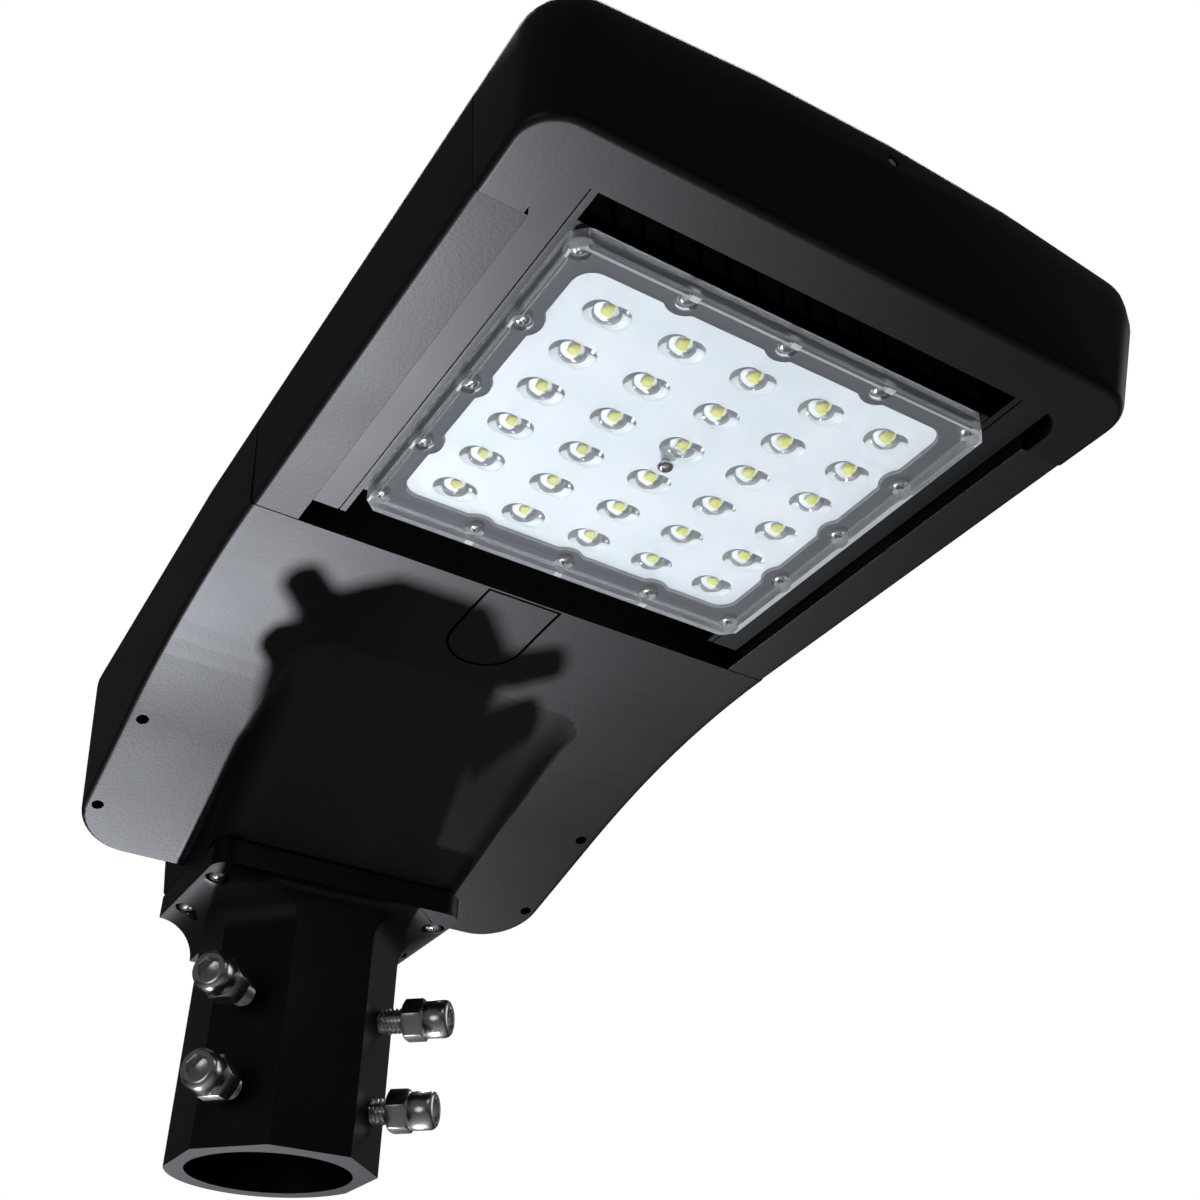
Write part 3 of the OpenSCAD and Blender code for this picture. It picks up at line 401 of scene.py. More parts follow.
def steel(name, color, roughness, grit=0.6):
    """Plated or bare steel: bright, with faint tool marks."""
    material, tree = new_material(name)
    spot = add(tree, "TexCoord").outputs["Object"]
    marks = add(tree, "TexNoise", {"Vector": spot, "Scale": grit / MM, "Detail": 4.0,
                "Roughness": BREAK_UP}).outputs["Fac"]
    shade = add(tree, "ValToRGB", {"Fac": marks}, [(0.3, color), (0.75, "#f2f2ef")])
    gloss = add(tree, "MapRange", {"Value": marks, "To Min": roughness * 0.8,
                "To Max": roughness * 1.25})
    shader = add(tree, "BsdfPrincipled", {
        "Base Color": shade.outputs["Color"], "Metallic": 1.0,
        "Roughness": gloss.outputs["Result"]})
    add(tree, "OutputMaterial", {"Surface": shader.outputs["BSDF"]})
    return material


def moulded(name, color, roughness, tint, grit=0.8, bump=0.15):
    """Moulded rubber or plastic with a faint mould texture."""
    material, tree = new_material(name)
    spot = add(tree, "TexCoord").outputs["Object"]
    fine = add(tree, "TexNoise", {"Vector": spot, "Scale": grit / MM, "Detail": 3.0,
               "Roughness": BREAK_UP}).outputs["Fac"]
    shade = add(tree, "ValToRGB", {"Fac": fine}, [(0.3, color), (0.7, tint)])
    raised = add(tree, "Bump", {"Strength": bump, "Distance": 0.05 * MM, "Height": fine})
    shader = add(tree, "BsdfPrincipled", {
        "Base Color": shade.outputs["Color"], "Roughness": roughness,
        "Normal": raised.outputs["Normal"]})
    add(tree, "OutputMaterial", {"Surface": shader.outputs["BSDF"]})
    return material


def solder_mask():
    """White solder mask on the board: bright white with a low gloss."""
    material, tree = new_material("white_solder_mask")
    spot = add(tree, "TexCoord").outputs["Object"]
    fine = add(tree, "TexNoise", {"Vector": spot, "Scale": 0.5 / MM, "Detail": 3.0,
               "Roughness": BREAK_UP}).outputs["Fac"]
    shade = add(tree, "ValToRGB", {"Fac": fine}, [(0.3, "#e6e7e6"), (0.7, "#ececeb")])
    shader = add(tree, "BsdfPrincipled", {
        "Base Color": shade.outputs["Color"], "Roughness": 0.35})
    add(tree, "OutputMaterial", {"Surface": shader.outputs["BSDF"]})
    return material


def clear_plastic(name, roughness, through):
    """Clear polycarbonate: water-bright where the mould is polished."""
    material, tree = new_material(name)
    spot = add(tree, "TexCoord").outputs["Object"]
    flow = add(tree, "TexNoise", {"Vector": spot, "Scale": 0.05 / MM, "Detail": 3.0,
               "Roughness": BREAK_UP}).outputs["Fac"]
    shade = add(tree, "ValToRGB", {"Fac": flow}, [(0.3, "#f4f7f8"), (0.7, "#fbfcfc")])
    shader = add(tree, "BsdfPrincipled", {
        "Base Color": shade.outputs["Color"], "Roughness": roughness, "IOR": 1.58,
        "Transmission Weight": through})
    # the thin plate lets the lamps' light through to the board
    path = add(tree, "LightPath")
    clear = add(tree, "BsdfTransparent", {"Color": linear("#f2f4f5")})
    both = add(tree, "MixShader", {0: path.outputs["Is Shadow Ray"], 1: shader.outputs[0],
               2: clear.outputs[0]})
    add(tree, "OutputMaterial", {"Surface": both.outputs[0]})
    return material


# name, dark and light colour, grit to a millimetre, bump, roughness, shine
COATS = {
    # die-cast aluminium under a sand-textured coat: black, greyer where light grazes it
    "textured": ("textured_powder_coat", "#0a0a0b", "#111112", 1.0, 0.3, 0.43),
    # the nose's coat: smoother and a little darker
    "satin": ("satin_powder_coat", "#09090a", "#0d0d0e", 0.7, 0.12, 0.38),
    # the fitter's coat: satin and deep black
    "fitter": ("smooth_powder_coat", "#050506", "#09090a", 0.8, 0.12, 0.42),
    # anodised aluminium extrusion: smooth with a low sheen
    "extrusion": ("anodised_extrusion", "#09090a", "#0e0e0f", 0.9, 0.05, 0.4),
    # its fins and all faces above the rails: near-black and matt, painted shade that keeps the
    # recess dark
    "fins": ("matt_anodised_fins", "#020202", "#040404", 0.9, 0.05, 0.7, 0.02),
}
# name, colour, roughness, marks to a millimetre
METALS = {
    # bright plating: mid grey with small white glints
    "zinc": ("bright_zinc_plating", "#e4e5e2", 0.22),
    # drawn wire: darker grey that still shines
    "spring": ("spring_steel", "#8a8c8e", 0.3),
    # sheet steel: dull silver with broad faint clouds
    "galvanised": ("galvanised_sheet", "#9fa3a6", 0.38, 0.12),
    # the earth screw: metal tinted green
    "green_steel": ("green_passivation", "#3f7d4c", 0.35),
}
# name, colour, roughness, second tint, texture to a millimetre, bump
MOULDINGS = {
    # gaskets and grommets: soft black with hardly any shine
    "rubber": ("black_rubber", "#0b0b0c", 0.7, "#121213"),
    # the lens gasket: a matt blue-grey band round the panel
    "silicone": ("grey_silicone", "#3c4047", 0.55, "#464a51"),
    # the driver's case: warm off-white enamel
    "white_case": ("white_enamelled_case", "#c9c9c6", 0.4, "#d2d2cf"),
    # the surge protector's case: plain mid blue
    "blue_case": ("blue_polycarbonate", "#23467f", 0.35, "#284d8a"),
    # the terminal block: ivory, slightly waxy
    "ivory_case": ("ivory_polyamide", "#d6cfba", 0.45, "#ddd7c4"),
    # the status window: glossy green
    "window": ("green_window", "#2f8f3f", 0.15, "#37a048", 0.3, 0.0),
    # the leads' sleeves: dull dark red
    "red_lead": ("red_silicone_lead", "#8f1c18", 0.5, "#9a221d"),
    # the breather vent: black with a faint sheen
    "black_plastic": ("black_polyamide", "#101011", 0.45, "#161617"),
    # the LEDs' light-giving faces: strong yellow grains
    "phosphor": ("yellow_phosphor", "#d2cf14", 0.5, "#e2da26", 2.0),
    # the LEDs' packages: clean white
    "ceramic": ("white_ceramic", "#e9e9e4", 0.35, "#f0f0ec"),
}
# name, roughness, share of light that goes through
CLEAR = {
    # the panel's polished faces: water-clear
    "optic": ("clear_polycarbonate", 0.03, 0.86),
    # the rim's faces keep the mould's matt finish, so they glow pale grey
    "frosted": ("frosted_polycarbonate", 0.4, 0.4),
}
FINISHES = {}


def make_finishes():
    makers = ((powder_coat, COATS), (steel, METALS), (moulded, MOULDINGS), (clear_plastic, CLEAR))
    for make, rows in makers:
        for key, row in rows.items():
            FINISHES[key] = make(*row)
    FINISHES["solder_mask"] = solder_mask()


# ---- settings ----

class FastenerSettings(bpy.types.PropertyGroup):
    """Sizes of the bolts and screws."""
    thread_pitch: bpy.props.FloatProperty(
        name="Thread pitch", description="Pitch of the clamp bolts' thread",
        default=1.588 * MM, unit="LENGTH")
    thread_depth: bpy.props.FloatProperty(
        name="Thread depth", description="Depth of the clamp bolts' thread",
        default=0.9 * MM, unit="LENGTH")


class EdgeSettings(bpy.types.PropertyGroup):
    """Radii on the edges of the castings."""
    casting: bpy.props.FloatProperty(
        name="Casting edge", description="Radius on the edges of the housing's castings",
        default=1.2 * MM, unit="LENGTH")
    rim: bpy.props.FloatProperty(
        name="Lower rim", description="Radius where the underside turns up into the sides",
        default=1.9 * MM, unit="LENGTH")
    fitter: bpy.props.FloatProperty(
        name="Fitter edge", description="Radius on the edges of the slip fitter",
        default=2.0 * MM, unit="LENGTH")


# ---- pieces ----

class NeckSettings(bpy.types.PropertyGroup):
    """Shape of the blended neck between the housing and the fitter."""
    radius: bpy.props.FloatProperty(
        name="Edge radius", description="Radius of the neck's front edges",
        default=12 * MM, unit="LENGTH")
    fillet: bpy.props.FloatProperty(
        name="Fillet", description="Reach of the blend from the neck into the underside",
        default=7.5 * MM, unit="LENGTH")
    flare: bpy.props.FloatProperty(
        name="Flare", description="Widening of the neck on each side",
        default=5.5 * MM, unit="LENGTH")
    bulge: bpy.props.FloatProperty(
        name="Bulge", description="How far the sides swell half way up",
        default=1.8 * MM, unit="LENGTH")
    drop: bpy.props.FloatProperty(
        name="Drop", description="Drop from the underside to the fitter",
        default=46 * MM, unit="LENGTH")
    slope: bpy.props.FloatProperty(
        name="Front slope", description="Rise of the neck's front over its run", default=0.576)
    belly_radius: bpy.props.FloatProperty(
        name="Underside radius", description="Radius of the housing's curved underside",
        default=365 * MM, unit="LENGTH")
    belly_angle: bpy.props.FloatProperty(
        name="Underside angle", description="Angle at which the underside goes on straight",
        default=math.radians(18.5), subtype="ANGLE")
    belly_start: bpy.props.FloatProperty(
        name="Underside start", description="Where the curve of the underside starts",
        default=-181 * MM, unit="LENGTH")


def ease(value):
    """A smooth step from 0 to 1."""
    value = min(max(value, 0), 1)
    return value * value * (3 - 2 * value)


class Neck:
    """The neck's surface: a tapered block that flows into the curved underside."""

    side_radius = 9 * MM
    least_reach = 1.5 * MM
    halvings = 26

    def __init__(self, sizes):
        low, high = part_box("fitter_gasket")
        self.sizes = sizes
        self.foot = high.z
        self.half = high.x
        self.front = low.y

    def belly(self, y):
        """Height of the housing's underside at a station."""
        sizes = self.sizes
        r, run = sizes.belly_radius, y - sizes.belly_start
        end = r * math.sin(sizes.belly_angle)
        straight = max(run - end, 0)
        run = min(run, end)
        top = self.foot + sizes.drop
        return top - r + math.sqrt(r * r - run * run) - straight * math.tan(sizes.belly_angle)

    def outside(self, x, y, z):
        """Distance outside the blended form, below zero inside it."""
        sizes = self.sizes
        ahead = ease((-y - 8 * MM) / (50 * MM))
        up = (z - self.foot) / sizes.drop
        wide = self.half + up * sizes.flare + ahead * sizes.bulge * 4 * max(up * (1 - up), 0)
        r = self.side_radius + ahead * (sizes.radius - self.side_radius)
        across = abs(x) - wide + r
        along = (self.front - y - (z - self.foot) / sizes.slope) * math.sin(
            math.atan(sizes.slope)) + r
        block = min(max(across, along), 0) + math.hypot(max(across, 0), max(along, 0)) - r
        under = (self.belly(y) - z) * 0.97
        front_share = ease(0.5 + (along - across) / (14 * MM))
        least = self.least_reach
        reach = least + ahead * (least + front_share * (sizes.fillet - 2 * least))
        near = max(reach - abs(block - under), 0) / reach
        return min(block, under) - near * near * reach / 4

    def height(self, x, y):
        """Lowest height of the form above a point of the plan."""
        low, high = self.foot, self.belly(y) + MM
        if self.outside(x, y, low) <= 0:
            return low
        for _ in range(self.halvings):
            middle = (low + high) / 2
            if self.outside(x, y, middle) > 0:
                low = middle
            else:
                high = middle
        return high

    def meet(self, x, y, way):
        """Distance along a plan direction at which the neck meets the underside."""
        low, high = 0.0, 0.12
        for _ in range(self.halvings):
            middle = (low + high) / 2
            px, py = x + way[0] * middle, y + way[1] * middle
            rise_x = (abs(px) - self.half) * self.sizes.drop / self.sizes.flare
            rise_y = (self.front - py) * self.sizes.slope
            if max(rise_x, rise_y) + self.foot < self.belly(py):
                low = middle
            else:
                high = middle
        return low

    def columns(self):
        """Starts on the foot's outline and plan directions, from one side round to the other."""
        r = self.sizes.radius
        side = [((-self.half, -2 * MM + (self.front + r + 2 * MM) * i / 12), (-1, 0))
                for i in range(12)]
        corner = []
        for i in range(56):
            turn = math.pi / 2 * ease(i / 56) ** 1.6
            way = (-math.cos(turn), -math.sin(turn))
            corner.append(((-self.half + r + way[0] * r, self.front + r + way[1] * r), way))
        half = side + corner + [((-self.half + r, self.front), (0, -1))]
        across = [((x * (self.half - r) / 10, self.front), (0, -1)) for x in range(-9, 10)]
        mirrored = [((-x, y), (-way[0], way[1])) for (x, y), way in reversed(half)]
        return half + across + mirrored

    def surface(self):
        """The skin as a grid whose rows follow the foot, the crease and the border."""
        columns = self.columns()
        steep, flat = 22, 14
        deselect()
        bpy.ops.mesh.primitive_grid_add(x_subdivisions=len(columns) - 1,
                                        y_subdivisions=steep + flat, size=MM)
        skin = bpy.context.object
        skin.name = "neck_skin"
        rows = steep + flat + 1
        for i, ((x, y), way) in enumerate(columns):
            crease = self.meet(x, y, way)
            margin = min(24 * MM, 10 * MM / max(abs(way[0]), 0.1))
            for j in range(rows):
                if j <= steep:
                    run = crease * j / steep
                else:
                    run = crease + margin * ((j - steep) / flat) ** 1.3
                px, py = x + way[0] * run, y + way[1] * run
                z = self.height(px, py)
                sink = ease((j - steep - 4) / (flat - 4)) if j > steep else 0
                proud = 0.06 * MM - 0.3 * MM * sink
                skin.data.vertices[j * len(columns) + i].co = (px, py, z - proud)
        return skin

    def draw_in(self, piece):
        """Draws the plain neck of a copy in, so that it stays behind the skin."""
        margin, near_side, far_side = 2.2 * MM, self.front - 75 * MM, -15 * MM
        for vert in piece.data.vertices:
            x, y, z = vert.co
            under = self.belly(y)
            inner = abs(x) < self.half + self.sizes.flare + MM and near_side < y < far_side
            if not inner or z > under + 0.3 * MM:
                continue
            amount = ease((far_side - y) / (18 * MM))
            on_belly = z > under - 0.3 * MM
            vert.co.x = x * (1 - amount * margin / self.half)
            vert.co.y = y + amount * margin
            if on_belly:
                vert.co.z = z + self.belly(vert.co.y) - under


class CastingsOperator(bpy.types.Operator):
    """Die-cast housings with rounded edges"""
    bl_idname = PREFIX + "castings"
    bl_label = "Castings"

    def execute(self, context):
        edges = context.scene.area_light_edges
        rows = [
            ("rear_housing", "rear_casting", edges.casting, "textured"),
            ("gear_cover", "cover_casting", edges.casting, "textured"),
            ("side_housing", "side_casting", edges.casting, "textured"),
            ("nose_frame", "nose_casting", edges.casting, "satin"),
            ("slip_fitter", "fitter_casting", edges.fitter, "fitter"),
            ("latch_lever", "latch_tab", 0.5 * MM, "textured"),
            ("heat_sink", "finned_extrusion", 0.3 * MM, "extrusion"),
        ]
        for node, name, radius, finish in rows:
            piece = cad_copy(node, name)
            if node in ("rear_housing", "side_housing", "nose_frame"):
                round_chosen(piece, is_lower_rim, edges.rim)
            if node == "rear_housing":
                Neck(context.scene.area_light_neck).draw_in(piece)
                # short faces keep the shading true beside the neck and the holes
                across = (14, 30, 44, 52, 58, 64, 76, 88, 94.8)
                slice_mesh(piece, (1, 0, 0), [side * x * MM for side in (-1, 1) for x in across])
                slice_mesh(piece, (0, 1, 0), [y * MM for y in (-124, -118, -104, -98)])
            soften(piece, radius)
            if node == "rear_housing":
                piece = join(piece, self.neck(context.scene.area_light_neck))
            if node == "heat_sink":
                # the faces above the rails get painted shade, so the recess behind the panel stays
                # black
                dress(piece, (FINISHES[finish], FINISHES["fins"]), node)
                self.paint_recess_shade(piece)
            else:
                dress(piece, FINISHES[finish], node)
        return {"FINISHED"}

    def paint_recess_shade(self, piece):
        """Gives the faces above the rails the near-black matt finish: painted shade that keeps the
        recess dark.
        """
        rail_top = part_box("heat_sink")[0].z + 3 * MM
        for face in piece.data.polygons:
            face.material_index = int(face.center.z > rail_top)

    def neck(self, sizes):
        """The neck's skin, closed with a thin wall on its inner side."""
        skin = Neck(sizes).surface()
        turn_out(skin)
        middle = skin.data.polygons[len(skin.data.polygons) // 2]
        if middle.normal.z > 0:
            edit_mesh(skin)
            bpy.ops.mesh.flip_normals()
            leave_mesh()
        modify(skin, "SOLIDIFY", thickness=0.8 * MM, offset=-1)
        smooth(skin, 50)
        return skin


def screw_head(radius, height, shank, reach):
    """A pan-head screw, head up from the origin, with a cross recess."""
    crown = [(0, height), (radius * 0.45, height * 0.97), (radius * 0.75, height * 0.82),
             (radius * 0.93, height * 0.5), (radius, height * 0.12), (radius, 0),
             (shank, 0), (shank, -reach), (0, -reach)]
    piece = lathe("screw", crown, 24)
    arm, wide = radius * 0.56, radius * 0.19
    for reach_x, reach_y in ((arm, wide), (wide, arm)):
        cut(piece, block((-reach_x, -reach_y, height * 0.45), (reach_x, reach_y, height * 2)))
    smooth(piece, 40)
    return piece


class ScrewsOperator(bpy.types.Operator):
    """Pan-head screws with cross recesses, one piece for each CAD node"""
    bl_idname = PREFIX + "screws"
    bl_label = "Screws"

    def execute(self, context):
        # node: head direction, head radius, head height, shank radius, in millimetres
        rows = {
            "lens_screws": ((0, 0, -1), 2.6, 1.5, 1.25),
            "centre_screw": ((0, 0, -1), 2.6, 1.5, 1.25),
            "fitter_screws": ((0, 0, -1), 3.6, 3.0, 1.9),
            "tray_screws": ((0, 0, -1), 2.1, 1.6, 1.4),
            "nose_screw": ((0, -1, 0), 1.7, 0.8, 1.0),
            "nose_joint_screws": ((0, 1, 0), 3.4, 2.0, 1.9),
            "rear_joint_screws": ((0, -1, 0), 3.4, 2.0, 1.9),
            "heat_sink_screws": ((0, 0, 1), 3.4, 2.0, 1.9),
            "driver_screws": ((0, 0, 1), 3.4, 2.0, 1.9),
            "surge_screws": ((0, 0, 1), 3.4, 2.0, 1.9),
            "keeper_screws": ((0, 0, -1), 1.8, 1.0, 1.0),
        }
        for node, (way, radius, height, shank) in rows.items():
            way = Vector(way)
            copies = []
            for low, high in solids(node):
                length = abs((high - low).dot(way))
                model = screw_head(radius * MM, height * MM, shank * MM, length - height * MM)
                head_end = (low + high) / 2 + way * length / 2
                place(model, aim(head_end - way * height * MM, way))
                copies.append(model)
            piece = join(*copies)
            piece.name = node + "_plated"
            dress(piece, FINISHES["zinc"], node)
        return {"FINISHED"}


class BoltsOperator(bpy.types.Operator):
    """Threaded clamp bolts with hex sockets, and chamfered lock nuts"""
    bl_idname = PREFIX + "bolts"
    bl_label = "Clamp bolts"

    def execute(self, context):
        sizes = context.scene.area_light_fasteners
        for height in ("low", "high"):
            for side, sign in (("left", -1), ("right", 1)):
                way = Vector((sign * math.sin(BOLT_ANGLE), -math.cos(BOLT_ANGLE), 0))
                self.bolt(f"clamp_bolt_{height}_{side}", way, sizes)
                self.nut(f"lock_nut_{height}_{side}", way)
        return {"FINISHED"}

    def span(self, node, way):
        """The axis's height and the node's two ends along it."""
        along = [vert.co.dot(way) for vert in frame["nodes"][node].data.vertices]
        low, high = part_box(node)
        return (low.z + high.z) / 2, min(along), max(along)

    def bolt(self, node, way, sizes):
        z, tip, end = self.span(node, way)
        seat = end - HEAD_HEIGHT
        rod = threaded_rod("rod", BOLT_RADIUS, sizes.thread_depth, sizes.thread_pitch,
                           tip + 0.9 * MM, seat + 0.3 * MM)
        point = lathe("point", [(0, tip), (3.1 * MM, tip), (3.9 * MM, tip + 0.95 * MM),
                                (0, tip + 0.95 * MM)])
        r = HEAD_RADIUS
        head = lathe("head", [(0, seat), (r - 0.5 * MM, seat), (r, seat + 0.6 * MM),
                              (r, end - 2.0 * MM), (r - 0.35 * MM, end - 1.0 * MM),
                              (r - 1.0 * MM, end - 0.35 * MM), (r - 1.9 * MM, end), (0, end)], 48)
        cut(head, prism(6, SOCKET_RADIUS, end - 5 * MM, end + MM, SOCKET_TURN))
        round_edges(head, 0.15 * MM, 2, 50)
        smooth(head, 40)
        smooth(rod, 50)
        bolt = join(head, rod, point)
        bolt.name = node + "_threaded"
        place(bolt, aim((0, 0, z), way))
        dress(bolt, FINISHES["zinc"], node)

    def nut(self, node, way):
        z, low, high = self.span(node, way)
        nut = prism(6, NUT_RADIUS, low, high, math.radians(30))
        flat = NUT_RADIUS * math.cos(math.pi / 6)
        drop = (NUT_RADIUS - flat) * 0.75
        inner, outer = flat - 0.2 * MM, NUT_RADIUS + 0.1 * MM
        cone = lathe("chamfer", [(0, low), (inner, low), (outer, low + drop),
                                 (outer, high - drop), (inner, high), (0, high)], 48)
        cut(nut, cone, "INTERSECT")
        cut(nut, prism(32, BOLT_RADIUS + 0.05 * MM, low - MM, high + MM))
        round_edges(nut, 0.18 * MM, 2, 25)
        smooth(nut, 30)
        nut.name = node + "_chamfered"
        place(nut, aim((0, 0, z), way))
        dress(nut, FINISHES["zinc"], node)


class OpticsOperator(bpy.types.Operator):
    """Clear panel with a cavity behind each lens, and the LED packages"""
    bl_idname = PREFIX + "optics"
    bl_label = "Optics"

    def execute(self, context):
        panel = cad_copy("lens_panel", "clear_optic_panel")
        chips = solids("led_chips")
        self.lower_domes(panel)
        radius, depth = 3.1 * MM, 1.3 * MM
        cavity = lathe("cavity", [(0, -depth)] + [
            (radius * math.sin(math.radians(a)), -depth * math.cos(math.radians(a)))
            for a in range(15, 91, 15)] + [(radius, MM), (0, MM)], 24)
        pocket = frame_height("lens_panel", chips[0])
        # the cavities are a quarter longer across the panel
        stretch = Matrix.Diagonal((1.25, 1.0, 1.0, 1.0))
        cavities = []
        for low, high in chips:
            middle = (low + high) / 2
            cavities.append(twin(cavity, Matrix.Translation((middle.x, middle.y, pocket)) @ stretch))
        bpy.data.objects.remove(cavity)
        cut(panel, join(*cavities))
        low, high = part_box("lens_panel")
        cut(panel, join(*self.ribs(low, high)), "UNION")
        cut(panel, join(*self.dimples(low, high)))
        soften(panel, 0.25 * MM, 2, 50, 30)
        dress(panel, (FINISHES["optic"], FINISHES["frosted"]), "lens_panel")
        wall = 2.3 * MM
        for face in panel.data.polygons:
            x, y, _ = face.center
            edge = min(high.x - abs(x), y - low.y, high.y - y)
            face.material_index = int(edge < wall)
        self.packages(chips)
        return {"FINISHED"}

    def lower_domes(self, panel):
        """Makes the lens domes shallower, so that they bend the view of the board less."""
        kept_height = 0.66
        first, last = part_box("led_board")
        face = min(vert.co.z for vert in panel.data.vertices) + LENS_FACE
        for vert in panel.data.vertices:
            x, y, z = vert.co
            inside = abs(x) < last.x and first.y < y < last.y
            if inside and z < face - 0.02 * MM:
                vert.co.z = face + (z - face) * kept_height

    def ribs(self, low, high):
        """A short rib at each rim screw, from its pocket out to the rim."""
        found = []
        middle_y = (low.y + high.y) / 2
        for first, last in solids("lens_screws"):
            x, y = (first.x + last.x) / 2, (first.y + last.y) / 2
            ways = []
            if high.x - abs(x) < 5 * MM:
                ways.append((math.copysign(high.x - 0.25 * MM, x) - x, 0))
            if min(y - low.y, high.y - y) < 6 * MM:
                edge = high.y - 0.25 * MM if y > middle_y else low.y + 0.25 * MM
                ways.append((0, edge - y))
            for out_x, out_y in ways[:1]:
                way = Vector((out_x, out_y, 0))
                near, far = way.normalized() * 2.9 * MM, way
                side = Vector((-way.y, way.x, 0)).normalized() * 1.4 * MM
                spots = [near + side, near - side, far + side, far - side]
                xs, ys = [x + p.x for p in spots], [y + p.y for p in spots]
                found.append(block((min(xs), min(ys), low.z + 0.5 * MM),
                                   (max(xs), max(ys), low.z + 3.6 * MM)))
        return found

    def dimples(self, low, high):
        """Six shallow marks that the mould's ejectors leave between the lenses."""
        middle = (low + high) / 2
        found = []
        for x in (-35.7, 35.7):
            for y in (-31.5, 1.0, 33.3):
                mark = lathe("mark", [(0, -0.6 * MM), (2.2 * MM, -0.6 * MM), (2.2 * MM, 0),
                                      (1.5 * MM, 0.22 * MM), (0, 0.3 * MM)], 24)
                place(mark, Matrix.Translation((x * MM, middle.y + y * MM, low.z + LENS_FACE)))
                found.append(mark)
        return found

    def packages(self, chips):
        """White ceramic packages, each with its yellow phosphor face."""
        bodies, faces = [], []
        for low, high in chips:
            body = block(low, high)
            round_edges(body, 0.2 * MM, 2, 30)
            bodies.append(body)
            middle = (low + high) / 2
            half = (high.x - low.x) / 2 + 0.3 * MM
            face = lathe("face", [(0, 0.35 * MM), (half * 0.6, 0.3 * MM), (half * 0.95, 0.1 * MM),
                                  (half, 0), (half, -0.2 * MM), (0, -0.2 * MM)], 16)
            place(face, aim((middle.x, middle.y, low.z), (0, 0, -1)))
            faces.append(face)
        body = join(*bodies)
        body.name = "ceramic_packages"
        dress(body, FINISHES["ceramic"], "led_chips")
        face = join(*faces)
        smooth(face)
        face.name = "phosphor_faces"
        dress(face, FINISHES["phosphor"], "led_chips")


def frame_height(node, chip):
    """Height of a node's face above a chip's middle."""
    middle = (chip[0] + chip[1]) / 2
    hit, point, _, _ = frame["nodes"][node].ray_cast((middle.x, middle.y, chip[1].z), (0, 0, -1))
    if not hit:
        raise RuntimeError(f"nothing of {node} below the chip")
    return point.z


